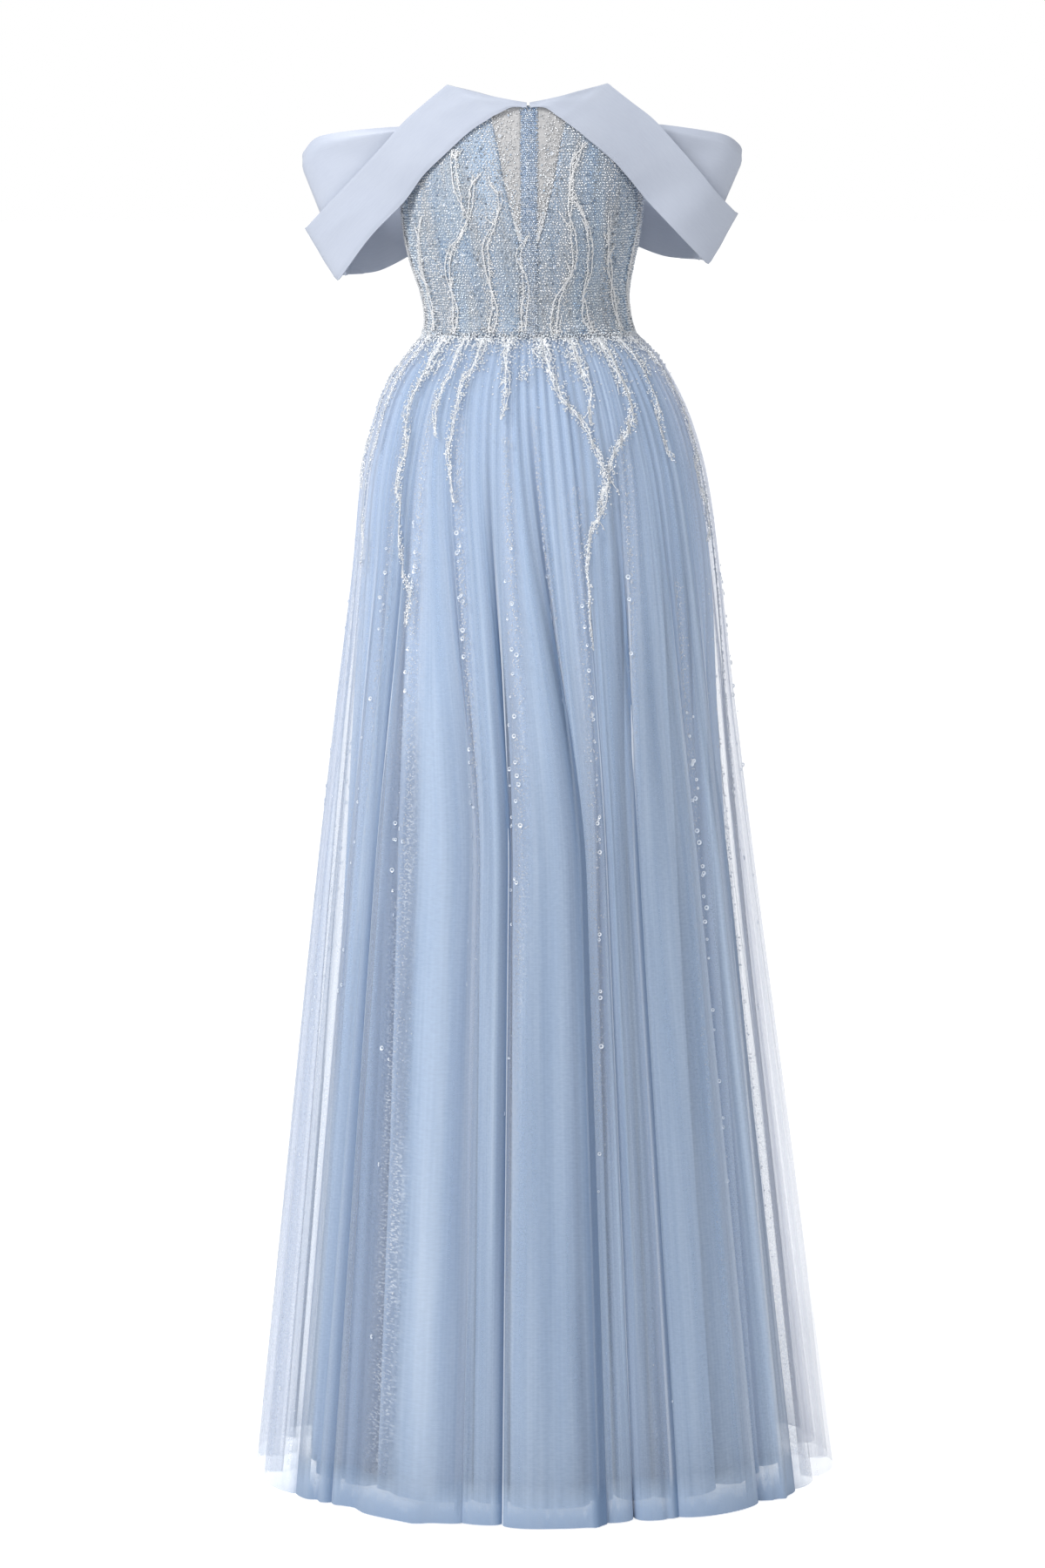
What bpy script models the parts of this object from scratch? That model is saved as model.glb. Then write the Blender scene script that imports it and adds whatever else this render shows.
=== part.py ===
"""Ball gown, off the shoulder, standing open and hollow as it does when it is worn.

Every piece of cloth is a flat sheet (a grid) that is bent into place and given a wall by a Solidify modifier. The
bodice and the two skirts are sections around the body, read from short tables, and the collar, the sleeves and the
back bands are ribbons between a lower and an upper edge.

Metres, Z up. The origin is the middle of the waist seam, where the wearer's waist holds the gown up. The front
faces -Y and the wearer's left is +X. A turn is an angle around the body from the centre front, in degrees, positive
towards the wearer's left.
"""

import math
from bisect import bisect_right
from collections import namedtuple

import bmesh
import bpy
from mathutils import Vector

MM = 0.001

# ---------------------------------------------------------------- driving sizes

SKIRT_LENGTH = 1.205  # waist seam to the overskirt's hem
UNDERSKIRT_SHORTER = 0.008  # how far the underskirt's hem stays above the overskirt's
NECK_POINT_HEIGHT = 0.2335  # waist seam to the point where the collar halves meet

SEAM_GAP = 0.0003  # between pieces that are sewn to each other
WAIST_SEAM_GAP = 0.0010  # the bodice's wall ends on a slant, so its inner edge is nearer
BODICE_WALL = 0.0026
INSET_WALL = 0.0012
SATIN_WALL = 0.0022
UNDERSKIRT_WALL = 0.0015
OVERSKIRT_WALL = 0.0012

PLACKET_HALF_WIDTH = 0.0072
PLACKET_LIFT = 0.0006  # how far its beads stand out from the bodice
COLLAR_STAND_OFF = 0.0046  # the satin's outer face above the bodice's
WAIST_TUCK = 0.008  # underskirt seam allowance inside the bodice
END_COLUMN = 0.02  # share of a piece taken by the narrow columns beside its seams
FOLDS_PER_GORE = 3
FIRST_GORE_FOLD = -1  # the fold at which the first gore starts, counted from the first valley of the table

# ---------------------------------------------------------------- tables

# Half widths and depths of the bodice at heights above the waist seam.
BodiceSection = namedtuple("BodiceSection", "height right left front back")
BODICE = [
    BodiceSection(0.000, 0.1085, 0.1095, 0.0860, 0.0840),
    BodiceSection(0.016, 0.1070, 0.1050, 0.0860, 0.0830),
    BodiceSection(0.042, 0.1115, 0.1035, 0.0920, 0.0850),
    BodiceSection(0.070, 0.1215, 0.1080, 0.1010, 0.0885),
    BodiceSection(0.100, 0.1285, 0.1145, 0.1085, 0.0915),
    BodiceSection(0.128, 0.1317, 0.1175, 0.1110, 0.0935),
    BodiceSection(0.160, 0.1320, 0.1195, 0.1080, 0.0945),
    BodiceSection(0.200, 0.1300, 0.1190, 0.1000, 0.0940),
    BodiceSection(0.236, 0.1260, 0.1160, 0.0940, 0.0920),
]

# Height of the bodice's upper edge, the same on both sides. It stays under the satin.
TopEdge = namedtuple("TopEdge", "turn height")
BODICE_TOP = [
    TopEdge(0, NECK_POINT_HEIGHT),
    TopEdge(14, NECK_POINT_HEIGHT),
    TopEdge(26, 0.222),
    TopEdge(40, 0.199),
    TopEdge(56, 0.174),
    TopEdge(76, 0.155),
    TopEdge(100, 0.150),
    TopEdge(180, 0.160),
]

# How far the sheer inset reaches beyond the placket, by the share of the way up the bodice.
InsetEdge = namedtuple("InsetEdge", "share reach")
INSET_EDGE = [
    InsetEdge(0.00, 0.0000),
    InsetEdge(0.36, 0.0000),
    InsetEdge(0.50, 0.0080),
    InsetEdge(0.66, 0.0170),
    InsetEdge(0.82, 0.0240),
    InsetEdge(1.00, 0.0330),
]
INSET_START = 0.42  # share of the way up at which the inset is wide enough to sew in

# Overskirt outline at its ridges, how deep its waves are, and the underskirt inside it.
SkirtSection = namedtuple(
    "SkirtSection", "height right left front back wave under_inset under_wave"
)
SKIRT = [
    SkirtSection(0.000, 0.1085, 0.1100, 0.0865, 0.0850, 0.0026, 0.0064, 0.0000),
    SkirtSection(-0.020, 0.1255, 0.1325, 0.1010, 0.1030, 0.0042, 0.0080, 0.0015),
    SkirtSection(-0.050, 0.1475, 0.1525, 0.1180, 0.1230, 0.0046, 0.0090, 0.0020),
    SkirtSection(-0.090, 0.1630, 0.1710, 0.1320, 0.1400, 0.0046, 0.0092, 0.0020),
    SkirtSection(-0.150, 0.1765, 0.1880, 0.1440, 0.1540, 0.0048, 0.0094, 0.0022),
    SkirtSection(-0.250, 0.1865, 0.2025, 0.1560, 0.1670, 0.0058, 0.0100, 0.0026),
    SkirtSection(-0.400, 0.2060, 0.2195, 0.1740, 0.1850, 0.0095, 0.0190, 0.0045),
    SkirtSection(-0.600, 0.2300, 0.2455, 0.1950, 0.2060, 0.0150, 0.0310, 0.0080),
    SkirtSection(-0.850, 0.2580, 0.2810, 0.2210, 0.2310, 0.0215, 0.0430, 0.0120),
    SkirtSection(-SKIRT_LENGTH, 0.2960, 0.3290, 0.2590, 0.2670, 0.0280, 0.0560, 0.0160),
]

# The valleys between the large folds at the hem, by turn, and how deep the fold after each one is.
Fold = namedtuple("Fold", "valley depth")
FOLDS = [
    Fold(-16.5, 0.60),
    Fold(-4.8, 1.00),
    Fold(13.4, 0.55),
    Fold(20.5, 0.70),
    Fold(29.5, 1.00),
    Fold(48.5, 0.85),
    Fold(61.0, 0.75),
    Fold(73.0, 0.95),
    Fold(90.0, 0.80),
    Fold(104.0, 1.00),
    Fold(121.0, 0.65),
    Fold(130.5, 0.95),
    Fold(149.0, 0.80),
    Fold(164.0, 0.95),
    Fold(181.0, 0.60),
    Fold(191.0, 1.00),
    Fold(209.0, 0.80),
    Fold(229.0, 0.90),
    Fold(239.0, 0.70),
    Fold(251.0, 0.95),
    Fold(268.0, 0.85),
    Fold(283.0, 1.00),
    Fold(301.0, 0.80),
    Fold(313.0, 0.80),
]
FIRST_VALLEY_AT_WAIST = -30.0  # turn of the first valley at the waist, where they are evenly spaced
DRIFTED_BELOW = 0.55  # depth below the waist from which the valleys run straight down to the hem
GATHERS_PER_FOLD = 4  # at the waist each fold starts as four gathers
GATHERS_END = 0.55  # and they have run together this far down

GORES = ["front", "front_left", "left", "back_left", "back", "back_right", "right", "front_right"]

# Edges of the satin ribbons, in millimetres from the middle of the waist. A ribbon lies on the bodice where
# its own places would cut into it.
RibbonRow = namedtuple("RibbonRow", "lower_x lower_y lower_z upper_x upper_y upper_z")
COLLAR_RIGHT = [
    RibbonRow(-2.2, -98, 231.6, -2.2, -99, 236.2),
    RibbonRow(-17, -100, 232.0, -43, -98, 244.2),
    RibbonRow(-35, -99, 223.8, -83, -90, 254.2),
    RibbonRow(-60, -93, 207.5, -106, -82, 235.6),
    RibbonRow(-86, -84, 184.0, -128, -73, 216.2),
    RibbonRow(-108, -72, 162.5, -151, -63, 190.6),
    RibbonRow(-128, -58, 135.5, -173, -51, 167.4),
    RibbonRow(-163, -44, 99.8, -201, -34, 138.6),
    RibbonRow(-196, -15, 56.2, -229, -4, 109.3),
    RibbonRow(-197, 8, 56.8, -230, 17, 108.0),
    RibbonRow(-191.5, 34, 57.4, -216, 40, 107.4),
    RibbonRow(-174, 51, 58.0, -187, 53, 107.0),
]
COLLAR_LEFT = [
    RibbonRow(0.8, -98, 231.6, 0.8, -99, 236.2),
    RibbonRow(16, -100, 231.6, 40, -98, 244.9),
    RibbonRow(33, -99, 220.6, 80, -90, 255.6),
    RibbonRow(55, -93, 204.2, 103, -82, 237.9),
    RibbonRow(80, -82, 184.0, 127, -73, 219.5),
    RibbonRow(100, -70, 162.4, 150, -63, 194.8),
    RibbonRow(120, -56, 138.3, 172, -51, 170.0),
    RibbonRow(151, -43, 105.8, 194, -34, 143.9),
    RibbonRow(184, -15, 72.3, 214, -4, 123.9),
    RibbonRow(185, 8, 72.8, 216, 17, 122.5),
    RibbonRow(178, 31, 73.4, 203, 39, 121.8),
    RibbonRow(160, 51, 74.0, 172, 53, 121.5),
]
# From the centre back round the outer side of the arm and along its front, behind the collar.
SLEEVE_RIGHT = [
    RibbonRow(-0.3, 99, 128.0, -0.3, 99, 194.0),
    RibbonRow(-45, 95, 122.0, -45, 95, 198.0),
    RibbonRow(-88, 76, 104.0, -88, 78, 206.0),
    RibbonRow(-120, 58, 80.0, -122, 64, 209.0),
    RibbonRow(-155, 52, 62.0, -158, 60, 207.0),
    RibbonRow(-183, 38, 54.6, -205, 49, 200.5),
    RibbonRow(-189, 18, 54.0, -228, 27, 191.0),
    RibbonRow(-191, 0, 55.0, -237.5, 0, 179.0),
    RibbonRow(-197, -17, 84.0, -234, -14, 186.5),
    RibbonRow(-181, -32, 106.0, -219, -28, 200.3),
    RibbonRow(-150, -44, 142.0, -187, -43, 206.5),
    RibbonRow(-122, -57, 172.0, -150, -56, 210.0),
    RibbonRow(-100, -70, 192.0, -121, -67, 211.5),
]
SLEEVE_LEFT = [
    RibbonRow(0.3, 99, 128.0, 0.3, 99, 194.0),
    RibbonRow(43, 95, 123.0, 43, 95, 198.0),
    RibbonRow(82, 77, 108.0, 82, 79, 206.0),
    RibbonRow(110, 59, 89.0, 114, 65, 209.0),
    RibbonRow(141, 52, 77.0, 148, 60, 208.0),
    RibbonRow(167, 38, 70.8, 191, 49, 202.0),
    RibbonRow(175, 18, 70.0, 214, 27, 194.5),
    RibbonRow(178, 0, 70.8, 224, 0, 184.0),
    RibbonRow(184, -18, 98.0, 219, -14, 193.5),
    RibbonRow(168, -33, 118.0, 204, -29, 202.6),
    RibbonRow(140, -44, 148.0, 176, -43, 208.0),
    RibbonRow(112, -56, 176.0, 140, -56, 212.7),
    RibbonRow(92, -70, 194.0, 113, -67, 214.0),
]
SLEEVE_SEAM_ROW = 3  # the row at which the back band is sewn to the sleeve

# ---------------------------------------------------------------- grid sizes of the pieces

OVERSKIRT_COLUMNS_PER_FOLD = 8
UNDERSKIRT_COLUMNS_PER_FOLD = 4
OVERSKIRT_ROW_HEIGHTS = [
    -WAIST_SEAM_GAP, -0.018, -0.046, -0.085, -0.145, -0.25, -0.40, -0.60, -0.86, -SKIRT_LENGTH,
]
UNDERSKIRT_ROW_HEIGHTS = [
    WAIST_TUCK, 0.0, -0.018, -0.055, -0.12, -0.24, -0.44, -0.78, -SKIRT_LENGTH + UNDERSKIRT_SHORTER,
]
BODICE_FRONT_GRID = (11, 12)
BODICE_BACK_GRID = (10, 8)
INSET_GRID = (4, 7)
PLACKET_GRID = (4, 12)
COLLAR_GRID = (26, 3)
BACK_BAND_GRID = (9, 3)
SLEEVE_GRID = (28, 4)

# ---------------------------------------------------------------- reading the tables


def smooth_between(keys, values, at):
    """The value of a smooth curve through the points (keys, values), with rising keys."""
    at = min(max(at, keys[0]), keys[-1])
    i = min(max(bisect_right(keys, at) - 1, 0), len(keys) - 2)
    span = keys[i + 1] - keys[i]
    t = (at - keys[i]) / span

    def slope(k):
        before = max(k - 1, 0)
        after = min(k + 1, len(keys) - 1)
        return (values[after] - values[before]) / (keys[after] - keys[before])

    start = values[i] * (1 + 2 * t) * (1 - t) ** 2 + slope(i) * span * t * (1 - t) ** 2
    end = values[i + 1] * t * t * (3 - 2 * t) - slope(i + 1) * span * t * t * (1 - t)
    return start + end


def read(rows, column, key, at):
    """A column of a table whose rows are in rising or falling order of the key column."""
    rows = sorted(rows, key=lambda row: getattr(row, key))
    keys = [getattr(row, key) for row in rows]
    values = [getattr(row, column) for row in rows]
    return smooth_between(keys, values, at)


def eased(share):
    share = min(max(share, 0.0), 1.0)
    return share * share * (3 - 2 * share)


# ---------------------------------------------------------------- sections around the body


def section_point(half_widths, depths, turn, inward=0.0):
    """A point of an oval section at a turn, moved in along the section's own normal."""
    angle = math.radians(turn)
    half_width = half_widths[1] if math.sin(angle) > 0 else half_widths[0]
    depth = depths[0] if math.cos(angle) > 0 else depths[1]
    x = half_width * math.sin(angle)
    y = -depth * math.cos(angle)
    normal = Vector((x / half_width**2, y / depth**2)).normalized()
    return x - normal.x * inward, y - normal.y * inward


def bodice_point(turn, height, outward=0.0):
    half_widths = [read(BODICE, side, "height", height) for side in ("right", "left")]
    depths = [read(BODICE, side, "height", height) for side in ("front", "back")]
    x, y = section_point(half_widths, depths, turn, -outward)
    return Vector((x, y, height))


def bodice_top(turn):
    around = abs((turn + 180) % 360 - 180)
    return read(BODICE_TOP, "height", "turn", around)


def turn_of_width(width, height):
    """The turn at which the bodice's front is this far from the centre."""
    side = "left" if width > 0 else "right"
    half_width = read(BODICE, side, "height", height)
    return math.degrees(math.asin(width / half_width))


def inset_turn(side, share, clearance):
    """The seam between the inset and the bodice's beaded front, by the share of the way up."""
    reach = read(INSET_EDGE, "reach", "share", share)
    height = share * NECK_POINT_HEIGHT
    return turn_of_width(side * (PLACKET_HALF_WIDTH + max(reach, 0.0) + clearance), height)


# ---------------------------------------------------------------- folds of the skirt


def valley_turn(number, height):
    """Evenly spaced at the waist, at its own place from DRIFTED_BELOW down to the hem."""
    count = len(FOLDS)
    laps, index = divmod(number, count)
    at_waist = FIRST_VALLEY_AT_WAIST + index * 360 / count
    at_hem = FOLDS[index].valley
    drift = eased(-height / DRIFTED_BELOW)
    return at_waist + (at_hem - at_waist) * drift + 360 * laps


def fold_wave(number, share, height):
    """0 in a valley and up to 1 on a ridge, a share of the way across a fold."""
    fold = FOLDS[number % len(FOLDS)]
    gathers = math.sin(math.pi * GATHERS_PER_FOLD * share) ** 2
    ridge = math.sin(math.pi * share) ** 1.5 * fold.depth
    merged = eased(-height / GATHERS_END)
    return gathers * (1 - merged) + ridge * merged


def skirt_point(fold_place, height, under, edge_shift):
    """A point of a skirt. fold_place counts folds and shares of one, and edge_shift is in metres around it."""
    number = math.floor(fold_place + 1e-9)
    share = fold_place - number
    start = valley_turn(number, height)
    turn = start + share * (valley_turn(number + 1, height) - start)
    at = min(height, 0.0)
    half_widths = [read(SKIRT, side, "height", at) for side in ("right", "left")]
    depths = [read(SKIRT, side, "height", at) for side in ("front", "back")]
    turn += math.degrees(edge_shift / half_widths[0])
    wave_depth = read(SKIRT, "under_wave" if under else "wave", "height", at)
    inward = wave_depth * (1 - fold_wave(number, share, at))
    if under:
        inward += read(SKIRT, "under_inset", "height", at)
    x, y = section_point(half_widths, depths, turn, inward)
    return Vector((x, y, height))


# ---------------------------------------------------------------- ribbons of satin


def ribbon_edge(rows, edge, along):
    places = list(range(len(rows)))
    values = [[getattr(row, f"{edge}_{axis}") for row in rows] for axis in "xyz"]
    return Vector([smooth_between(places, column, along) for column in values]) * MM


def resting_on_bodice(point):
    """The point, brought forward or back to the bodice's face where it would be nearer than the stand-off."""
    height = min(point.z, BODICE[-1].height)
    side = "left" if point.x > 0 else "right"
    half_width = read(BODICE, side, "height", height) + COLLAR_STAND_OFF
    if abs(point.x) >= half_width:
        return point
    facing = "back" if point.y > 0 else "front"
    depth = read(BODICE, facing, "height", height) + COLLAR_STAND_OFF
    least = depth * math.sqrt(1 - (point.x / half_width) ** 2)
    y = max(abs(point.y), least)
    return Vector((point.x, math.copysign(y, point.y), point.z))


def ribbon_point(rows, along, across):
    lower = ribbon_edge(rows, "lower", along)
    upper = ribbon_edge(rows, "upper", along)
    return resting_on_bodice(lower.lerp(upper, across))


# ---------------------------------------------------------------- making pieces


def material(name, colour, roughness):
    made = bpy.data.materials.new(name)
    made.use_nodes = True
    shader = made.node_tree.nodes["Principled BSDF"]
    shader.inputs["Base Color"].default_value = (*colour, 1.0)
    shader.inputs["Roughness"].default_value = roughness
    shader.inputs["Metallic"].default_value = 0.0
    return made


def column_share(share, columns, narrow_ends):
    """Where a column lies. Narrow end columns make a curved wall end square to its seam."""
    column = round(share * columns)
    if narrow_ends and column == 1:
        return END_COLUMN
    if narrow_ends and column == columns - 1:
        return 1 - END_COLUMN
    return column / columns


def cloth(name, collection, finish, wall, grid, place, narrow_ends=True):
    """A sheet of columns by rows, bent by place(share along, share up), with its wall on the inside."""
    bm = bmesh.new()
    bmesh.ops.create_grid(bm, x_segments=grid[0], y_segments=grid[1], size=0.5)
    for vert in bm.verts:
        along = column_share(vert.co.x + 0.5, grid[0], narrow_ends)
        vert.co = place(along, vert.co.y + 0.5)
    mesh = bpy.data.meshes.new(name)
    bm.to_mesh(mesh)
    bm.free()
    mesh.shade_smooth()
    mesh.materials.append(finish)
    piece = bpy.data.objects.new(name, mesh)
    collection.objects.link(piece)
    solidify = piece.modifiers.new("wall", "SOLIDIFY")
    solidify.thickness = wall
    solidify.offset = -1.0


def make_bodice_fronts(collection, finish):
    for side, name in ((-1, "right"), (1, "left")):

        def place(along, up, side=side):
            from_centre = along if side > 0 else 1 - along
            inner = inset_turn(side, up, SEAM_GAP)
            side_seam = side * 90 - side * math.degrees(SEAM_GAP / 2 / BODICE[0].right)
            turn = inner + (side_seam - inner) * from_centre
            return bodice_point(turn, up * bodice_top(turn))

        cloth(f"bodice_front_{name}", collection, finish, BODICE_WALL, BODICE_FRONT_GRID, place)


def make_bodice_backs(collection, finish):
    gap = math.degrees(SEAM_GAP / 2 / BODICE[0].right)
    for first, last, name in ((90, 180, "left"), (180, 270, "right")):

        def place(along, up, first=first, last=last):
            turn = first + gap + (last - first - 2 * gap) * along
            return bodice_point(turn, up * bodice_top(turn))

        cloth(f"bodice_back_{name}", collection, finish, BODICE_WALL, BODICE_BACK_GRID, place)


def make_insets(collection, finish):
    for side, name in ((-1, "right"), (1, "left")):

        def place(along, up, side=side):
            from_centre = along if side > 0 else 1 - along
            share = INSET_START + (1 - INSET_START) * up
            height = share * NECK_POINT_HEIGHT
            inner = turn_of_width(side * (PLACKET_HALF_WIDTH + SEAM_GAP), height)
            outer = inset_turn(side, share, 0.0)
            turn = inner + (outer - inner) * from_centre
            return bodice_point(turn, height)

        cloth(f"inset_{name}", collection, finish, INSET_WALL, INSET_GRID, place)


def make_placket(collection, finish):
    def place(along, up):
        height = up * NECK_POINT_HEIGHT
        turn = turn_of_width(PLACKET_HALF_WIDTH * (2 * along - 1), height)
        return bodice_point(turn, height, PLACKET_LIFT)

    cloth("placket", collection, finish, BODICE_WALL + PLACKET_LIFT, PLACKET_GRID, place)


def make_collar(collection, finish):
    for rows, name in ((COLLAR_RIGHT, "right"), (COLLAR_LEFT, "left")):
        last = len(rows) - 1

        def place(along, up, rows=rows, last=last, name=name):
            outward = along if name == "left" else 1 - along
            return ribbon_point(rows, outward * last, up)

        cloth(f"collar_{name}", collection, finish, SATIN_WALL, COLLAR_GRID, place)


def make_sleeves(collection, finish):
    """Back bands and sleeves, which are sewn together at SLEEVE_SEAM_ROW."""
    for rows, name in ((SLEEVE_RIGHT, "right"), (SLEEVE_LEFT, "left")):
        last = len(rows) - 1
        seam = ribbon_edge(rows, "lower", SLEEVE_SEAM_ROW)
        row_length = (seam - ribbon_edge(rows, "lower", SLEEVE_SEAM_ROW - 1)).length
        gap = SEAM_GAP / row_length

        def place_band(along, up, rows=rows, name=name, gap=gap):
            outward = along if name == "right" else 1 - along
            return ribbon_point(rows, outward * (SLEEVE_SEAM_ROW - gap), up)

        def place_sleeve(along, up, rows=rows, name=name, last=last):
            outward = along if name == "right" else 1 - along
            return ribbon_point(rows, SLEEVE_SEAM_ROW + outward * (last - SLEEVE_SEAM_ROW), up)

        cloth(f"back_band_{name}", collection, finish, SATIN_WALL, BACK_BAND_GRID, place_band)
        cloth(f"sleeve_{name}", collection, finish, SATIN_WALL, SLEEVE_GRID, place_sleeve)


def make_skirt(prefix, collection, finish, wall, columns_per_fold, row_heights, under):
    """Eight gores with their seams in valleys. Rows run from the hem up, so that the faces look outwards."""
    columns = FOLDS_PER_GORE * columns_per_fold
    heights = row_heights[::-1]
    rows = len(heights) - 1
    for number, name in enumerate(GORES):

        def place(along, up, number=number):
            column = round(along * columns)
            shift = 0.0
            if column == 0:
                shift = SEAM_GAP / 2
            if column == columns:
                shift = -SEAM_GAP / 2
            fold_place = FIRST_GORE_FOLD + number * FOLDS_PER_GORE + column / columns_per_fold
            return skirt_point(fold_place, heights[round(up * rows)], under, shift)

        cloth(f"{prefix}_{name}", collection, finish, wall, (columns, rows), place, narrow_ends=False)


def main():
    for old in list(bpy.data.objects):
        bpy.data.objects.remove(old, do_unlink=True)
    gown = bpy.data.collections.new("ball_gown")
    bpy.context.scene.collection.children.link(gown)

    beaded = material("beaded_tulle", (0.44, 0.52, 0.62), 0.45)
    placket = material("placket_beads", (0.36, 0.50, 0.68), 0.40)
    illusion = material("illusion_tulle", (0.60, 0.60, 0.62), 0.80)
    satin = material("satin", (0.64, 0.69, 0.79), 0.42)
    underskirt = material("underskirt_cloth", (0.30, 0.42, 0.60), 0.70)
    overskirt = material("overskirt_tulle", (0.46, 0.56, 0.70), 0.75)

    make_bodice_fronts(gown, beaded)
    make_bodice_backs(gown, beaded)
    make_insets(gown, illusion)
    make_placket(gown, placket)
    make_collar(gown, satin)
    make_sleeves(gown, satin)
    make_skirt(
        "underskirt", gown, underskirt, UNDERSKIRT_WALL, UNDERSKIRT_COLUMNS_PER_FOLD, UNDERSKIRT_ROW_HEIGHTS, True
    )
    make_skirt(
        "overskirt", gown, overskirt, OVERSKIRT_WALL, OVERSKIRT_COLUMNS_PER_FOLD, OVERSKIRT_ROW_HEIGHTS, False
    )


main()
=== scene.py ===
"""Off-the-shoulder ball gown: cloth, beads, embroidery, finishes, light and camera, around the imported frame.

Metres, Z up, the origin in the middle of the waist seam. The front faces -Y and the wearer's left is +X. A
turn is an angle around the body from the centre front, in degrees, positive towards the wearer's left. On the
skirts a place is counted in folds, 24 to a round, with whole numbers in the valleys.
"""

import math
from collections import namedtuple

import bmesh
import bpy
import numpy as np
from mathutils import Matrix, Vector


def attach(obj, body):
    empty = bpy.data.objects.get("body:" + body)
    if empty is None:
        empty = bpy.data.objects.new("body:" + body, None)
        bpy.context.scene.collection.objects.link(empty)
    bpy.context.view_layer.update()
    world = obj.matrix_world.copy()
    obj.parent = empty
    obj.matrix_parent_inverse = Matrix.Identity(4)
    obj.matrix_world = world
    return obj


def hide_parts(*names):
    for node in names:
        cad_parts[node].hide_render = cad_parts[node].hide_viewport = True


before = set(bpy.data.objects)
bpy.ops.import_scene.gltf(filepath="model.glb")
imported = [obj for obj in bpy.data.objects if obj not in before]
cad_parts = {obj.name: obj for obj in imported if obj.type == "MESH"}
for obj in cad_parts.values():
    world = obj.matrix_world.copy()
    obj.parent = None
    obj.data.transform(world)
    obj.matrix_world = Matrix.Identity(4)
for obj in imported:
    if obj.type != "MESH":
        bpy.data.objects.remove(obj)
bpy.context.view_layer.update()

MM = 0.001

# ---------------------------------------------------------------- driving sizes

SKIRT_LENGTH = 1.205
LINING_SHORTER = 0.004
GLITTER_SHORTER = 0.003
NECK_POINT_HEIGHT = 0.2335
SEAM_GAP = 0.0003
WAIST_SEAM_GAP = 0.0010
WAIST_TUCK = 0.008

BODICE_WALL = 0.0020
INSET_WALL = 0.0008
SATIN_WALL = 0.0022
LINING_WALL = 0.0010

PLACKET_HALF_WIDTH = 0.0072
PLACKET_LIFT = 0.0006
COLLAR_STAND_OFF = 0.0046

TURNED_EDGE = 0.05  # share of the collar's width taken by its turned lower edge
TURNED_EDGE_STEP = 0.0009
SLEEVE_ROLL = 0.0045  # how far the sleeve's top edge rolls in over the arm
COLLAR_CORNER = 2  # the row at which the collar's upper edge turns down over the shoulder

BEAD_RADIUS = 0.00118
BEAD_SPACING = 0.0030
BEAD_LIFT = 0.0005
SMALL_BEAD_RADIUS = 0.0010
SEQUIN_RADIUS = 0.0027
CORD_RADIUS_ON_BODICE = 0.0006
CORD_RADIUS_ON_SKIRT = 0.0005
CORD_LIFT_ON_BODICE = 0.0015
CORD_LIFT_ON_SKIRT = 0.0007
BODICE_MEAN_RADIUS = 0.118  # turns lengths around the bodice into angles

FLOOR_HEIGHT = -1.2065
FLOOR_GLOW = 0.7  # lifts the pale floor to the white of the background
NET_GLOW = 0.13  # stands for the light that comes through the open net at the sides
WORLD_LIGHT = 0.50
CAMERA_PLACE = (-0.0064, -5.0, 0.26)
CAMERA_TILT = 8.35  # degrees down
CAMERA_LENS = 110.28  # millimetres, for a sensor 36 mm wide

# ---------------------------------------------------------------- tables


def table(kind, rows):
    return [kind(*row) for row in rows]


# The bodice's outer face: its half widths to the right and left and its depths to the front and back.
BodiceSection = namedtuple("BodiceSection", "height right left front back")
BODICE = table(BodiceSection, [
    (0.000, 0.1085, 0.1095, 0.0860, 0.0840),
    (0.016, 0.1070, 0.1050, 0.0860, 0.0830),
    (0.042, 0.1115, 0.1035, 0.0920, 0.0850),
    (0.070, 0.1215, 0.1080, 0.1010, 0.0885),
    (0.100, 0.1285, 0.1145, 0.1085, 0.0915),
    (0.128, 0.1317, 0.1175, 0.1110, 0.0935),
    (0.160, 0.1320, 0.1195, 0.1080, 0.0945),
    (0.200, 0.1300, 0.1190, 0.1000, 0.0940),
    (0.236, 0.1260, 0.1160, 0.0940, 0.0920),
])

# The bodice's upper edge, the same on both sides.
TopEdge = namedtuple("TopEdge", "turn height")
BODICE_TOP = table(TopEdge, [
    (0, NECK_POINT_HEIGHT),
    (14, NECK_POINT_HEIGHT),
    (26, 0.222),
    (40, 0.199),
    (56, 0.174),
    (76, 0.155),
    (100, 0.150),
    (180, 0.160),
])

# How far the insets reach from the placket, by share of the height of the neck point.
InsetEdge = namedtuple("InsetEdge", "share reach")
INSET_EDGE = table(InsetEdge, [
    (0.00, 0.0000),
    (0.36, 0.0000),
    (0.50, 0.0080),
    (0.66, 0.0170),
    (0.82, 0.0240),
    (1.00, 0.0330),
])
INSET_START = 0.42  # the share at which an inset is wide enough to sew in

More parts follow.
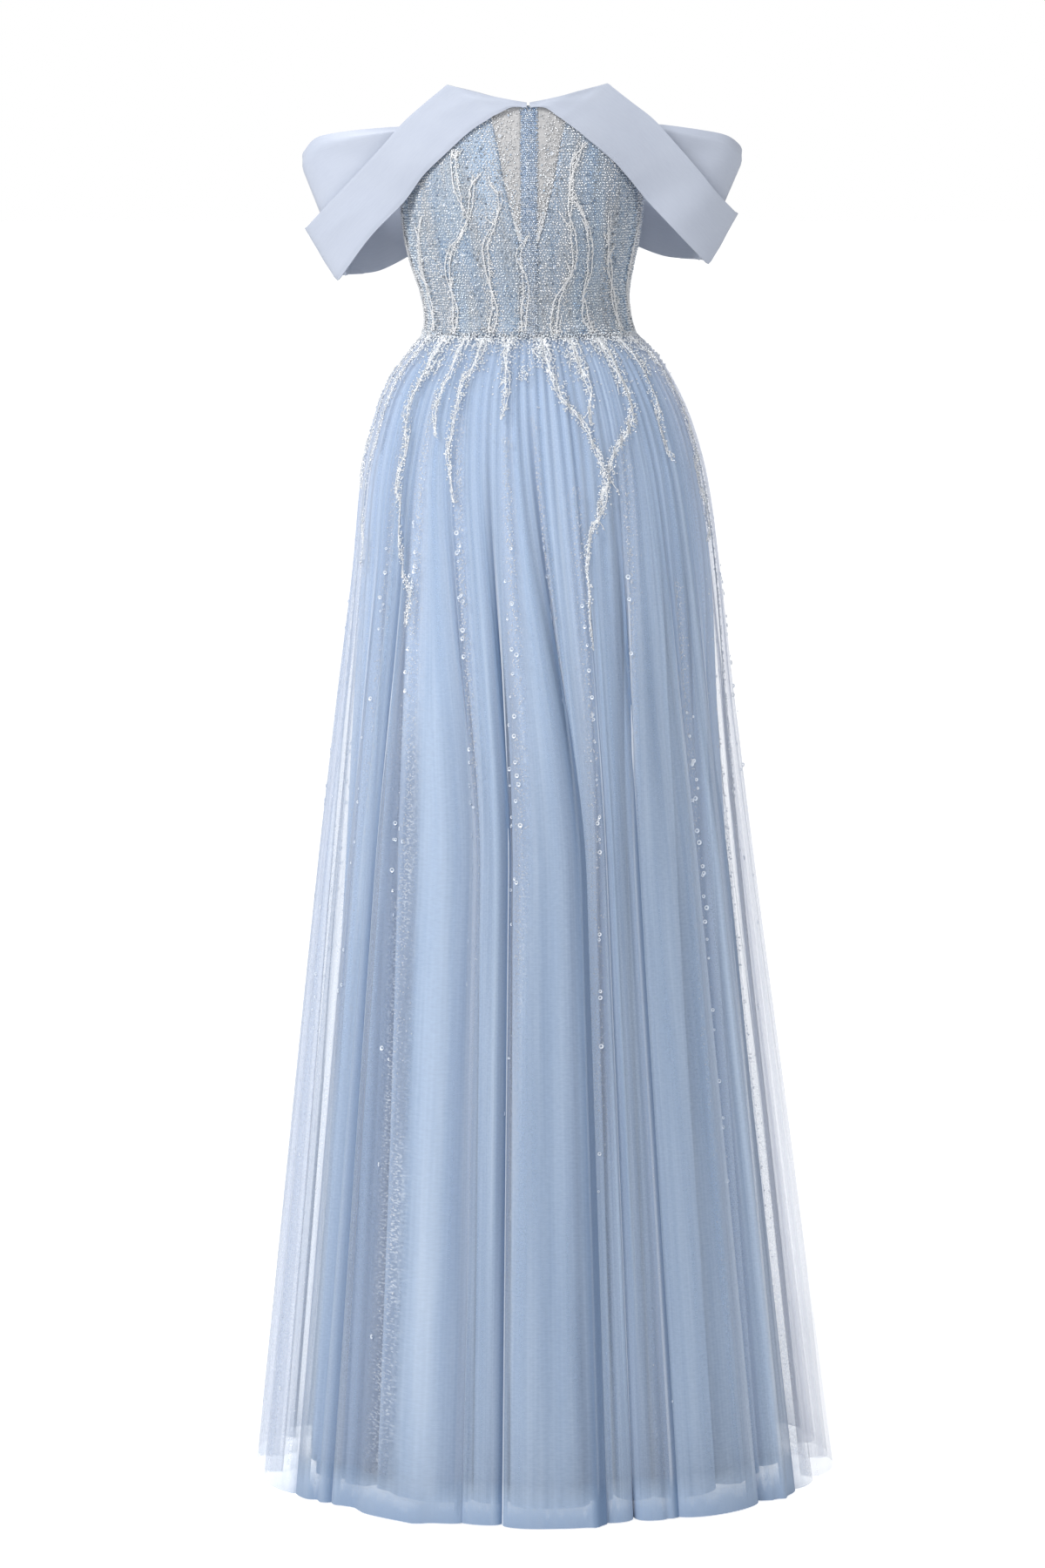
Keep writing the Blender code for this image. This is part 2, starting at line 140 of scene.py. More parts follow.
# The overskirt's ridges in the same terms, its folds' depth, and the underskirt's inset and folds' depth.
SkirtSection = namedtuple("SkirtSection", "height right left front back wave under_inset under_wave")
SKIRT = table(SkirtSection, [
    (-SKIRT_LENGTH, 0.2960, 0.3290, 0.2590, 0.2670, 0.0280, 0.0560, 0.0160),
    (-0.850, 0.2580, 0.2810, 0.2210, 0.2310, 0.0215, 0.0430, 0.0120),
    (-0.600, 0.2300, 0.2455, 0.1950, 0.2060, 0.0150, 0.0310, 0.0080),
    (-0.400, 0.2060, 0.2195, 0.1740, 0.1850, 0.0095, 0.0190, 0.0045),
    (-0.250, 0.1865, 0.2025, 0.1560, 0.1670, 0.0058, 0.0100, 0.0026),
    (-0.150, 0.1765, 0.1880, 0.1440, 0.1540, 0.0048, 0.0094, 0.0022),
    (-0.090, 0.1630, 0.1710, 0.1320, 0.1400, 0.0046, 0.0092, 0.0020),
    (-0.050, 0.1475, 0.1525, 0.1180, 0.1230, 0.0046, 0.0090, 0.0020),
    (-0.020, 0.1255, 0.1325, 0.1010, 0.1030, 0.0042, 0.0080, 0.0015),
    (0.000, 0.1085, 0.1100, 0.0865, 0.0850, 0.0026, 0.0064, 0.0000),
])

# Each fold of the skirts: the turn of the valley before it at the hem, how deep it is, how far its two edges
# hang over the valleys beside it, and how far its ridge leans to the wearer's left, in shares of its width.
Fold = namedtuple("Fold", "valley depth overhang lean")
FOLDS = table(Fold, [
    (-16.5, 0.60, 0.9, 0.10),
    (-4.8, 1.00, 1.6, 0.03),
    (13.4, 0.55, 0.9, -0.06),
    (20.5, 0.70, 1.2, 0.08),
    (29.5, 1.00, 1.5, -0.05),
    (48.5, 0.85, 1.2, 0.10),
    (61.0, 0.75, 1.0, -0.08),
    (73.0, 0.95, 1.4, 0.06),
    (90.0, 0.80, 1.1, -0.10),
    (104.0, 1.00, 1.5, 0.05),
    (121.0, 0.65, 0.9, 0.12),
    (130.5, 0.95, 1.4, -0.04),
    (149.0, 0.80, 1.1, 0.08),
    (164.0, 0.95, 1.6, -0.07),
    (181.0, 0.60, 0.9, 0.10),
    (191.0, 1.00, 1.5, -0.03),
    (209.0, 0.80, 1.2, 0.09),
    (229.0, 0.90, 1.3, -0.10),
    (239.0, 0.70, 1.0, 0.06),
    (251.0, 0.95, 1.5, 0.04),
    (268.0, 0.85, 1.1, -0.09),
    (283.0, 1.00, 1.4, 0.07),
    (301.0, 0.80, 1.3, -0.05),
    (313.0, 0.80, 1.5, 0.08),
])
FOLD_COUNT = len(FOLDS)

# How dark the painted shade beside each valley is, up to 1. Where this is negative, the dark part lies towards
# the wearer's right.
PAINTED_VALLEY_SHADES = [
    -0.45, -1.00, -0.95, 0.35, -1.00, 0.50, -0.60, 0.45, 0.70, -0.35, -0.95, 0.40,
    1.00, -0.45, -0.90, 0.35, 0.95, -0.50, -0.85, 0.40, -0.60, -0.50, 0.60, -0.75,
]
FIRST_VALLEY_AT_WAIST = -30.0
DRIFTED_BELOW = 0.55  # depth from which the valleys run straight down to the hem
GATHERS_PER_FOLD = 4
GATHERS_END = 0.55  # depth at which the gathers have run together into folds
CREASE_STARTS_OVER = 0.15
CREASE_ENDS_OVER = 0.25
ROUNDING = 1e-9  # lets a place on a valley count as past it
MAP_ROUNDING = 1e-6  # the same for places that come from a UV map

# Sharp creases within the broad folds: place, top, bottom, width in folds, and depth (outward when negative).
MAIN_CREASES = [
    (-0.66, 0.35, 1.6, 0.050, 0.010), (-0.42, 0.30, 1.6, 0.035, -0.006), (1.68, 0.55, 1.6, 0.035, -0.004),
    (0.72, 0.40, 1.6, 0.060, 0.003), (-1.40, 0.50, 1.6, 0.045, 0.006), (4.18, 0.40, 1.6, 0.170, 0.005),
    (5.45, 0.40, 1.6, 0.040, -0.005), (9.45, 0.35, 1.6, 0.050, 0.008), (10.55, 0.40, 1.6, 0.040, -0.005),
    (12.60, 0.50, 1.6, 0.045, 0.007), (14.45, 0.45, 1.6, 0.040, -0.005), (16.55, 0.35, 1.6, 0.050, 0.008),
    (18.40, 0.50, 1.6, 0.040, -0.004),
]

# How a layer of the skirt hangs: shares of the underskirt's inset and of the two wave depths, how much of the
# folds' overhang it takes, and the depth of its small creases.
Layer = namedtuple("Layer", "inset outer_wave under_wave overhang creases")
OUTER_TULLE = Layer(0.0, 1.0, 0.0, 1.0, 1.0)
GLITTER_TULLE = Layer(0.50, 0.0, 1.2, 0.5, 0.5)
LINING = Layer(1.0, 0.0, 2.6, 0.8, 0.6)

# Rows across the satin, in millimetres: a point on its lower edge and one on its upper edge.
RibbonRow = namedtuple("RibbonRow", "lower_x lower_y lower_z upper_x upper_y upper_z")
COLLAR_RIGHT = table(RibbonRow, [
    (-2.2, -98, 231.6, -2.2, -99, 236.2),
    (-17, -100, 232.0, -43, -98, 244.2),
    (-35, -99, 223.8, -83, -90, 254.2),
    (-60, -93, 207.5, -106, -82, 235.6),
    (-86, -84, 184.0, -128, -73, 216.2),
    (-108, -72, 162.5, -151, -63, 190.6),
    (-128, -58, 135.5, -173, -51, 167.4),
    (-163, -44, 99.8, -201, -34, 138.6),
    (-196, -15, 56.2, -229, -4, 109.3),
    (-197, 8, 56.8, -230, 17, 108.0),
    (-191.5, 34, 57.4, -216, 40, 107.4),
    (-174, 51, 58.0, -187, 53, 107.0),
])
COLLAR_LEFT = table(RibbonRow, [
    (0.8, -98, 231.6, 0.8, -99, 236.2),
    (16, -100, 231.6, 40, -98, 244.9),
    (33, -99, 220.6, 80, -90, 255.6),
    (55, -93, 204.2, 103, -82, 237.9),
    (80, -82, 184.0, 127, -73, 219.5),
    (100, -70, 162.4, 150, -63, 194.8),
    (120, -56, 138.3, 172, -51, 170.0),
    (151, -43, 105.8, 194, -34, 143.9),
    (184, -15, 72.3, 214, -4, 123.9),
    (185, 8, 72.8, 216, 17, 122.5),
    (178, 31, 73.4, 203, 39, 121.8),
    (160, 51, 74.0, 172, 53, 121.5),
])
SLEEVE_RIGHT = table(RibbonRow, [
    (-0.3, 99, 128.0, -0.3, 99, 194.0),
    (-45, 95, 122.0, -45, 95, 198.0),
    (-88, 76, 104.0, -88, 78, 206.0),
    (-120, 58, 80.0, -122, 64, 209.0),
    (-155, 52, 62.0, -158, 60, 207.0),
    (-183, 38, 58.5, -205, 49, 200.5),
    (-189, 18, 59.0, -228, 27, 191.0),
    (-191, 0, 60.0, -237.5, 0, 179.0),
    (-197, -17, 84.0, -234, -14, 186.5),
    (-181, -32, 106.0, -219, -28, 200.3),
    (-150, -44, 142.0, -187, -43, 206.5),
    (-122, -57, 172.0, -150, -56, 210.0),
    (-100, -70, 192.0, -121, -67, 211.5),
])
SLEEVE_LEFT = table(RibbonRow, [
    (0.3, 99, 128.0, 0.3, 99, 194.0),
    (43, 95, 123.0, 43, 95, 198.0),
    (82, 77, 108.0, 82, 79, 206.0),
    (110, 59, 89.0, 114, 65, 209.0),
    (141, 52, 77.0, 148, 60, 208.0),
    (167, 38, 74.5, 191, 49, 202.0),
    (175, 18, 75.0, 214, 27, 194.5),
    (178, 0, 76.0, 224, 0, 184.0),
    (184, -18, 98.0, 219, -14, 193.5),
    (168, -33, 118.0, 204, -29, 202.6),
    (140, -44, 148.0, 176, -43, 208.0),
    (112, -56, 176.0, 140, -56, 212.7),
    (92, -70, 194.0, 113, -67, 214.0),
])

# Vines of embroidery that hang from the waist over the skirt: the place where they start, and their length.
Vine = namedtuple("Vine", "place length")
SKIRT_VINES = table(Vine, [
    (-3.50, 0.16), (-2.60, 0.24), (-1.50, 0.30), (-0.45, 0.10), (0.35, 0.17),
    (1.30, 0.08), (2.40, 0.20), (3.45, 0.09), (4.55, 0.34), (5.60, 0.13),
    (6.60, 0.22), (8.50, 0.17), (9.50, 0.28), (11.45, 0.12), (12.5, 0.22),
    (13.5, 0.14), (14.5, 0.30), (16.4, 0.16), (17.5, 0.24), (19.5, 0.13),
])
# Vines on the bodice: the turn and height where they start, up (1) or down (-1), and their length.
BodiceVine = namedtuple("BodiceVine", "turn height way length")
BODICE_VINES = table(BodiceVine, [
    (-66, 0.004, 1, 0.12), (-45, 0.004, 1, 0.17), (-22, 0.004, 1, 0.15),
    (-4, 0.006, 1, 0.10), (15, 0.004, 1, 0.19), (37, 0.004, 1, 0.15),
    (60, 0.004, 1, 0.13), (-33, 0.188, -1, 0.07), (27, 0.196, -1, 0.06),
    (88, 0.004, 1, 0.12), (112, 0.004, 1, 0.13), (136, 0.004, 1, 0.10),
    (160, 0.004, 1, 0.12), (184, 0.004, 1, 0.11), (207, 0.004, 1, 0.12),
    (230, 0.004, 1, 0.13), (254, 0.004, 1, 0.10), (277, 0.004, 1, 0.12),
])
# Frosty bands down the glitter tulle: their places at the waist and at the hem, half their width, the depths
# they run between, and how full they are of glitter, beads and sequins.
Band = namedtuple("Band", "at_waist at_hem half_width top bottom fullness")
BANDS = table(Band, [
    (-2.60, -2.45, 0.40, 0.20, 1.21, 0.35), (-0.68, -0.62, 0.14, 0.06, 1.21, 1.0),
    (0.22, 0.04, 0.17, 0.08, 1.21, 1.0), (1.45, 1.02, 0.12, 0.10, 1.12, 1.0),
    (2.08, 2.00, 0.10, 0.08, 0.62, 0.8), (3.00, 2.15, 0.26, 0.15, 0.85, 0.8),
    (4.30, 3.60, 0.22, 0.10, 1.21, 0.9), (5.35, 5.08, 0.16, 0.25, 1.21, 1.0),
    (6.60, 6.80, 0.50, 0.25, 1.21, 0.10), (8.40, 8.10, 0.16, 0.08, 1.21, 0.8),
    (9.50, 9.20, 0.14, 0.10, 1.00, 0.7), (10.60, 10.90, 0.20, 0.10, 1.21, 0.9),
    (12.10, 12.05, 0.14, 0.08, 1.10, 0.9), (13.20, 13.40, 0.18, 0.12, 1.21, 0.8),
    (14.50, 14.20, 0.14, 0.08, 0.80, 0.8), (15.60, 15.80, 0.22, 0.10, 1.21, 0.9),
    (17.10, 17.00, 0.14, 0.08, 1.00, 0.7), (18.40, 18.60, 0.30, 0.15, 1.21, 0.8),
    (19.80, 19.70, 0.16, 0.10, 1.10, 0.7), (22.50, 22.30, 0.12, 0.08, 0.80, 0.6),
])
BEADS_PER_METRE = 1000
SEQUINS_PER_BAND = 28
BEADS_FADE_BELOW = 0.50  # depth under which the bands carry fewer and fewer beads
BEADS_FADE_OVER = 0.22

LINE_STEP = 0.004  # between the points of a line of embroidery
BODICE_LOOPS = (0.0080, 0.055)  # how far a vine's second strand swings aside, and the length of a swing
SKIRT_LOOPS = (0.0050, 0.034)
TWIG_SPACING = 0.090
TWIG_LENGTHS = (0.010, 0.022)
INSET_BEADS = 1500  # crowded in the lower ends of the insets
WAIST_CLUSTERS = 14
WAIST_FRINGE = 2600  # single beads that run down over the gathers from the waist seam

# ---------------------------------------------------------------- reading the tables


def smooth_between(keys, values, at):
    """Values of a smooth curve through the points (keys, values), with rising keys."""
    keys = np.asarray(keys, float)
    values = np.asarray(values, float)
    at = np.clip(at, keys[0], keys[-1])
    number = np.arange(len(keys))
    before = np.maximum(number - 1, 0)
    after = np.minimum(number + 1, len(keys) - 1)
    slopes = (values[after] - values[before]) / (keys[after] - keys[before])
    i = np.clip(np.searchsorted(keys, at, side="right") - 1, 0, len(keys) - 2)
    span = keys[i + 1] - keys[i]
    t = (at - keys[i]) / span
    start = values[i] * (1 + 2 * t) * (1 - t) ** 2 + slopes[i] * span * t * (1 - t) ** 2
    end = values[i + 1] * t * t * (3 - 2 * t) - slopes[i + 1] * span * t * t * (1 - t)
    return start + end


def read(rows, column, at, key="height"):
    keys = [getattr(row, key) for row in rows]
    values = [getattr(row, column) for row in rows]
    return smooth_between(keys, values, at)


def eased(share):
    share = np.clip(share, 0.0, 1.0)
    return share * share * (3 - 2 * share)


def unit(vectors):
    return vectors / np.maximum(np.linalg.norm(vectors, axis=-1, keepdims=True), 1e-12)


# ---------------------------------------------------------------- surfaces


def section_point(right, left, front, back, turn, inward):
    """Points of an oval section at some turns, moved in along the section's own normal."""
    angle = np.radians(turn)
    half_width = np.where(np.sin(angle) > 0, left, right)
    depth = np.where(np.cos(angle) > 0, front, back)
    x = half_width * np.sin(angle)
    y = -depth * np.cos(angle)
    normal = unit(np.stack((x / half_width**2, y / depth**2), axis=-1))
    return x - normal[..., 0] * inward, y - normal[..., 1] * inward


def bodice_surface(turn, height, outward=0.0):
    sides = [read(BODICE, side, height) for side in ("right", "left", "front", "back")]
    x, y = section_point(*sides, turn, -outward)
    return np.stack((x, y, height + 0.0 * x), axis=-1)


def bodice_half_width(x, height):
    return np.where(x > 0, read(BODICE, "left", height), read(BODICE, "right", height))


def bodice_top(turn):
    around = np.abs((turn + 180) % 360 - 180)
    return read(BODICE_TOP, "height", around, key="turn")


def turn_of_width(width, height):
    """The turn at which the bodice's front is this far from the centre."""
    return np.degrees(np.arcsin(width / bodice_half_width(width, height)))


def inset_turn(side, share, clearance):
    reach = np.maximum(read(INSET_EDGE, "reach", share, key="share"), 0.0)
    return turn_of_width(side * (PLACKET_HALF_WIDTH + reach + clearance), share * NECK_POINT_HEIGHT)


def fold_value(name, number):
    values = np.array([getattr(fold, name) for fold in FOLDS])
    return values[number % FOLD_COUNT]


def valley_turn(number, height):
    """Evenly spaced at the waist, at its own place from DRIFTED_BELOW down to the hem."""
    index = number % FOLD_COUNT
    at_waist = FIRST_VALLEY_AT_WAIST + index * 360 / FOLD_COUNT
    drift = eased(-height / DRIFTED_BELOW)
    return at_waist + (fold_value("valley", number) - at_waist) * drift + 360 * (number // FOLD_COUNT)


def small_creases():
    """Fainter creases between the large folds, in the same terms."""
    random = np.random.default_rng(3)
    count = 4 * FOLD_COUNT
    place = (np.arange(count) + random.uniform(-0.35, 0.35, count)) / 4
    top = random.uniform(0.0, 0.5, count)
    bottom = top + random.uniform(0.35, 1.2, count)
    width = random.uniform(0.025, 0.06, count)
    depth = random.uniform(0.0012, 0.0042, count) * random.choice((-1.0, 1.0), count, p=(0.6, 0.4))
    return list(zip(place, top, bottom, width, depth))


CREASES = MAIN_CREASES + small_creases()


def folds_away(place, centre):
    """How far places are from a centre, in folds, the short way round."""
    return (place - centre + FOLD_COUNT / 2) % FOLD_COUNT - FOLD_COUNT / 2


def crease_depth(place, height):
    total = np.zeros_like(place)
    for centre, top, bottom, width, depth in CREASES:
        start = eased((-height - top) / CREASE_STARTS_OVER)
        length = start * eased((bottom + height) / CREASE_ENDS_OVER)
        total += depth * length * np.exp(-((folds_away(place, centre) / width) ** 2))
    return total


def ridge_shape(share):
    """0 in the valleys beside a fold and 1 on its broad ridge."""
    return np.abs(np.sin(math.pi * share)) ** 0.9


def seen_place(place, height, layer):
    """Where each place of a layer is seen, in folds, once its fold hangs over the valleys beside it."""
    number = np.floor(place + ROUNDING).astype(int)
    share = place - number
    hanging = layer.overhang * eased(-height / GATHERS_END)
    across = fold_value("overhang", number) * np.sin(2 * math.pi * share) / (2 * math.pi)
    leaning = fold_value("lean", number) * ridge_shape(share)
    return place + hanging * (leaning - across)


def skirt_surface(place, height, layer):
    """Points of one layer of the skirt at places counted in folds."""
    place = np.asarray(place, float)
    height = np.asarray(height, float) + 0.0 * place
    number = np.floor(place + ROUNDING).astype(int)
    share = place - number
    at = np.minimum(height, 0.0)
    merged = eased(-at / GATHERS_END)
    fullness = 0.68 + 0.32 * np.sin(2.3 * place + 1) * np.sin(7.1 * place)
    gathers = fullness * np.sin(math.pi * GATHERS_PER_FOLD * share) ** 2
    wave = gathers * (1 - merged) + ridge_shape(share) * fold_value("depth", number) * merged
    start = valley_turn(number, at)
    turn = start + (seen_place(place, at, layer) - number) * (valley_turn(number + 1, at) - start)
    deepest = layer.outer_wave * read(SKIRT, "wave", at) + layer.under_wave * read(SKIRT, "under_wave", at)
    inward = deepest * (1 - wave) + layer.inset * read(SKIRT, "under_inset", at)
    if layer.creases:
        inward += layer.creases * crease_depth(place, at) * (1 - 0.8 * np.exp(at / 0.05))
    sides = [read(SKIRT, side, at) for side in ("right", "left", "front", "back")]
    x, y = section_point(*sides, turn, inward)
    return np.stack((x, y, height), axis=-1)


def outer_net(place, height):
    return skirt_surface(place, height, OUTER_TULLE)


def glitter_net(place, height):
    return skirt_surface(place, height, GLITTER_TULLE)


def with_corner(rows, corner, near=0.16):
    """A ribbon's places and rows, with two more rows close beside the one where its edge turns a corner."""
    places = [float(number) for number in range(len(rows))]
    closer = []
    for side in (-1, 1):
        pairs = zip(rows[corner], rows[corner + side])
        row = RibbonRow(*(here + (beside - here) * near for here, beside in pairs))
        closer.append((corner + side * near, row))
    return zip(*sorted([*zip(places, rows), *closer]))


def ribbon_edge(ribbon, edge, along):
    places, rows = ribbon
    columns = []
    for axis in "xyz":
        values = [getattr(row, f"{edge}_{axis}") for row in rows]
        columns.append(smooth_between(places, values, along))
    return np.stack(columns, axis=-1) * MM


def ribbon_surface(ribbon, along, across):
    """Points of a ribbon, brought off the bodice where they would be nearer to it than the stand-off."""
    lower = ribbon_edge(ribbon, "lower", along)
    upper = ribbon_edge(ribbon, "upper", along)
    point = lower + (upper - lower) * across[..., None]
    height = np.minimum(point[..., 2], BODICE[-1].height)
    x, y = point[..., 0], point[..., 1]
    half_width = bodice_half_width(x, height) + COLLAR_STAND_OFF
    depth = np.where(y > 0, read(BODICE, "back", height), read(BODICE, "front", height)) + COLLAR_STAND_OFF
    least = depth * np.sqrt(np.maximum(1 - (x / half_width) ** 2, 0.0))
    point[..., 1] = np.where(y > 0, 1, -1) * np.maximum(np.abs(y), least)
    return point


def lifted(surface, across, height, lift, nudge=(1e-3, 1e-4)):
    """Points lifted off a surface along its normal, and the normals there."""
    point = surface(across, height)
    along = surface(across + nudge[0], height) - surface(across - nudge[0], height)
    up = surface(across, height + nudge[1]) - surface(across, height - nudge[1])
    normal = unit(np.cross(along, up))
    return point + normal * np.asarray(lift)[..., None], normal


# ---------------------------------------------------------------- making meshes


def finished(mesh, finish, nodes=()):
    """An object named after its mesh, on the gown's body, with its finish and the nodes it stands for."""
    mesh.materials.append(finish)
    piece = bpy.data.objects.new(mesh.name, mesh)
    bpy.context.scene.collection.objects.link(piece)
    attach(piece, "root")
    if nodes:
        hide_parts(*nodes)
    return piece


def sheet_mesh(name, columns, rows, place, size, closed=False, crowding=1.0):
    """A grid bent by place(along, up), which are arrays from 0 to 1.

    Its UV map runs over size, about the cloth's width and length in metres. Crowding above 1 brings the rows
    closer together towards the top.
    """
    bm = bmesh.new()
    uv = bm.loops.layers.uv.new("cloth")
    bmesh.ops.create_grid(bm, x_segments=columns, y_segments=rows, size=0.5)
    bm.verts.index_update()
    flat = np.array([vert.co[:2] for vert in bm.verts]) + 0.5
    flat[:, 1] = 1 - np.clip(1 - flat[:, 1], 0.0, 1.0) ** crowding
    points = place(flat[:, 0], flat[:, 1])
    for face in bm.faces:
        for loop in face.loops:
            loop[uv].uv = flat[loop.vert.index] * size
    for vert, point in zip(bm.verts, points):
        vert.co = point
    if closed:
        edge = [vert for vert in bm.verts if vert.is_boundary]
        bmesh.ops.remove_doubles(bm, verts=edge, dist=1e-6)
    mesh = bpy.data.meshes.new(name)
    bm.to_mesh(mesh)
    bm.free()
    mesh.shade_smooth()
    return mesh


def give_wall(piece, wall):
    solidify = piece.modifiers.new("wall", "SOLIDIFY")
    solidify.thickness = wall
    solidify.offset = -1.0


def round_edges(piece, width, segments):
    bevel = piece.modifiers.new("rounded edges", "BEVEL")
    bevel.width = width
    bevel.segments = segments
    bevel.limit_method = "ANGLE"
    bevel.angle_limit = math.radians(50)


def bead_shape():
    """Eight faces, shaded smooth, since a bead is seen only as a point of light."""
    bm = bmesh.new()
    bmesh.ops.create_uvsphere(bm, u_segments=4, v_segments=2, radius=1.0)
    return bm


def sequin_shape():
    """A shallow cup with a hole in the middle."""
    bm = bmesh.new()
    bmesh.ops.create_cone(bm, cap_ends=False, segments=9, radius1=0.46, radius2=1.0, depth=0.30)
    return bm


def joined_copies(name, shape, points, normals, sizes, tones, blueness=None):
    """One mesh with a copy of a small shape at every point, each turned to face along its normal."""
    corners = np.array([vert.co for vert in shape.verts])
    faces = np.array([[vert.index for vert in face.verts] for face in shape.faces])
    shape.free()
    aside = unit(np.cross(normals, np.array((0.31, 0.17, 0.93))))
    upward = np.cross(normals, aside)
    axes = np.stack((aside, upward, normals), axis=1)
    placed = points[:, None, :] + np.einsum("ck,nkj->ncj", corners, axes) * sizes[:, None, None]
    numbered = faces[None, :, :] + (np.arange(len(points)) * len(corners))[:, None, None]
    mesh = bpy.data.meshes.new(name)
    mesh.from_pydata(placed.reshape(-1, 3), [], numbered.reshape(-1, faces.shape[1]))
    labels = {"tone": tones, "blueness": np.zeros(len(points)) if blueness is None else blueness}
    for label, values in labels.items():
        attribute = mesh.attributes.new(label, "FLOAT", "POINT")
        attribute.data.foreach_set("value", np.repeat(values, len(corners)).astype(np.float32))
    mesh.shade_smooth()
    return mesh


def cord_mesh(name, strands, radius):
    """A mesh of round cords that thin towards their ends, along lists of points."""
    curve = bpy.data.curves.new(name, "CURVE")
    curve.dimensions = "3D"
    curve.bevel_depth = radius
    curve.bevel_resolution = 1
    curve.use_fill_caps = True
    for strand in strands:
        spline = curve.splines.new("POLY")
        spline.points.add(len(strand) - 1)
        for number, point in enumerate(strand):
            share = number / (len(strand) - 1)
            spline.points[number].co = (*point, 1.0)
            spline.points[number].radius = 1.0 - 0.55 * share**2
    guide = bpy.data.objects.new(name, curve)
    bpy.context.scene.collection.objects.link(guide)
    depsgraph = bpy.context.evaluated_depsgraph_get()
    mesh = bpy.data.meshes.new_from_object(guide.evaluated_get(depsgraph))
    bpy.data.objects.remove(guide)
    mesh.name = name
    mesh.shade_smooth()
    return mesh


def wandering_line(random, start, way, length, heading=0.0):
    """Flat points (across, height) of a line that wanders up (way 1) or down (way -1)."""
    spots = [np.array(start, float)]
    for _ in range(max(int(length / LINE_STEP), 3)):
        heading = 0.92 * heading + random.normal(0.0, 0.13)
        spots.append(spots[-1] + LINE_STEP * np.array((math.sin(heading), way * math.cos(heading))))
    return np.array(spots)


def grown_vine(random, start, way, length, loops):
    """A wandering line, and a vine's strands: the line itself, one that swings about it, and short twigs."""
    line = wandering_line(random, start, way, length)
    swing, swing_length = loops
    share = np.linspace(0.0, 1.0, len(line))
    turns = share * length / swing_length + 0.25 * np.sin(5 * share + random.uniform(0, 6))
    beside = swing * random.choice((-1, 1)) * (1 - 0.55 * share) * np.sin(math.pi * turns)
    strands = [line, line + np.stack((beside, 0 * beside), axis=-1)]
    for number in range(3, len(line) - 1):
        if random.random() < LINE_STEP / TWIG_SPACING:
            heading = random.choice((-1, 1)) * random.uniform(0.5, 0.9)
            twig_length = random.uniform(*TWIG_LENGTHS)
            strands.append(wandering_line(random, line[number], way, twig_length, heading))
    return line, strands


# ---------------------------------------------------------------- finishes


def new_node(tree, kind, inputs=None, **settings):
    node = tree.nodes.new(kind)
    for key, value in settings.items():
        setattr(node, key, value)
    for key, value in (inputs or {}).items():
        if isinstance(value, bpy.types.NodeSocket):
            tree.links.new(value, node.inputs[key])
        else:
            node.inputs[key].default_value = value
    return node


def math_node(tree, operation, first, second=0.0, clamp=False):
    node = new_node(tree, "ShaderNodeMath", {0: first, 1: second}, operation=operation, use_clamp=clamp)
    return node.outputs[0]


def range_node(tree, value, low, high, to_low=0.0, to_high=1.0):
    ranges = {"Value": value, "From Min": low, "From Max": high, "To Min": to_low, "To Max": to_high}
    return new_node(tree, "ShaderNodeMapRange", ranges, clamp=True).outputs[0]


def blend_node(tree, share, first, second):
    node = new_node(tree, "ShaderNodeMix", data_type="RGBA")
    for socket, value in ((0, share), (6, first), (7, second)):
        if isinstance(value, bpy.types.NodeSocket):
            tree.links.new(value, node.inputs[socket])
        elif socket == 0:
            node.inputs[0].default_value = value
        else:
            node.inputs[socket].default_value = (*value, 1.0)
    return node.outputs[2]


def new_group(name, inputs, outputs):
    group = bpy.data.node_groups.new(name, "ShaderNodeTree")
    for socket, kind, value in inputs:
        made = group.interface.new_socket(socket, in_out="INPUT", socket_type=kind)
        if value is not None:
            made.default_value = value
    for socket in outputs:
        group.interface.new_socket(socket, in_out="OUTPUT", socket_type="NodeSocketFloat")
    start = group.nodes.new("NodeGroupInput")
    end = group.nodes.new("NodeGroupOutput")
    return group, start.outputs, end.inputs


def streaks_group():
    """Long soft streaks down the cloth: lines across per metre, and lines down per metre."""
    inputs = (
        ("Vector", "NodeSocketVector", None),
        ("Across", "NodeSocketFloat", 90.0),
        ("Down", "NodeSocketFloat", 1.5),
    )
    group, start, end = new_group("hanging streaks", inputs, ("Streaks",))
    parts = new_node(group, "ShaderNodeSeparateXYZ", {0: start["Vector"]}).outputs
    across = math_node(group, "MULTIPLY", parts[0], start["Across"])
    down = math_node(group, "MULTIPLY", parts[1], start["Down"])
    stretched = new_node(group, "ShaderNodeCombineXYZ", {0: across, 1: down}).outputs[0]
    noise = new_node(
        group, "ShaderNodeTexNoise", {"Vector": stretched, "Scale": 1.0, "Detail": 3.0, "Roughness": 0.6}
    )
    group.links.new(range_node(group, noise.outputs[0], 0.3, 0.7), end["Streaks"])
    return group


def weave_group():
    """Threads that cross: a height, and a mask of the gaps between the threads."""
    inputs = (("Vector", "NodeSocketVector", None), ("Threads", "NodeSocketFloat", 900.0))
    group, start, end = new_group("thread weave", inputs, ("Height", "Gaps"))
    parts = new_node(group, "ShaderNodeSeparateXYZ", {0: start["Vector"]}).outputs
    waves = []
    for part in (parts[0], parts[1]):
        turns = math_node(group, "MULTIPLY", part, start["Threads"])
        wave = math_node(group, "SINE", math_node(group, "MULTIPLY", turns, 2 * math.pi))
        waves.append(range_node(group, wave, -1.0, 1.0))
    height = math_node(group, "MAXIMUM", waves[0], waves[1])
    gaps = math_node(group, "SUBTRACT", 1.0, height)
    group.links.new(height, end["Height"])
    group.links.new(gaps, end["Gaps"])
    return group


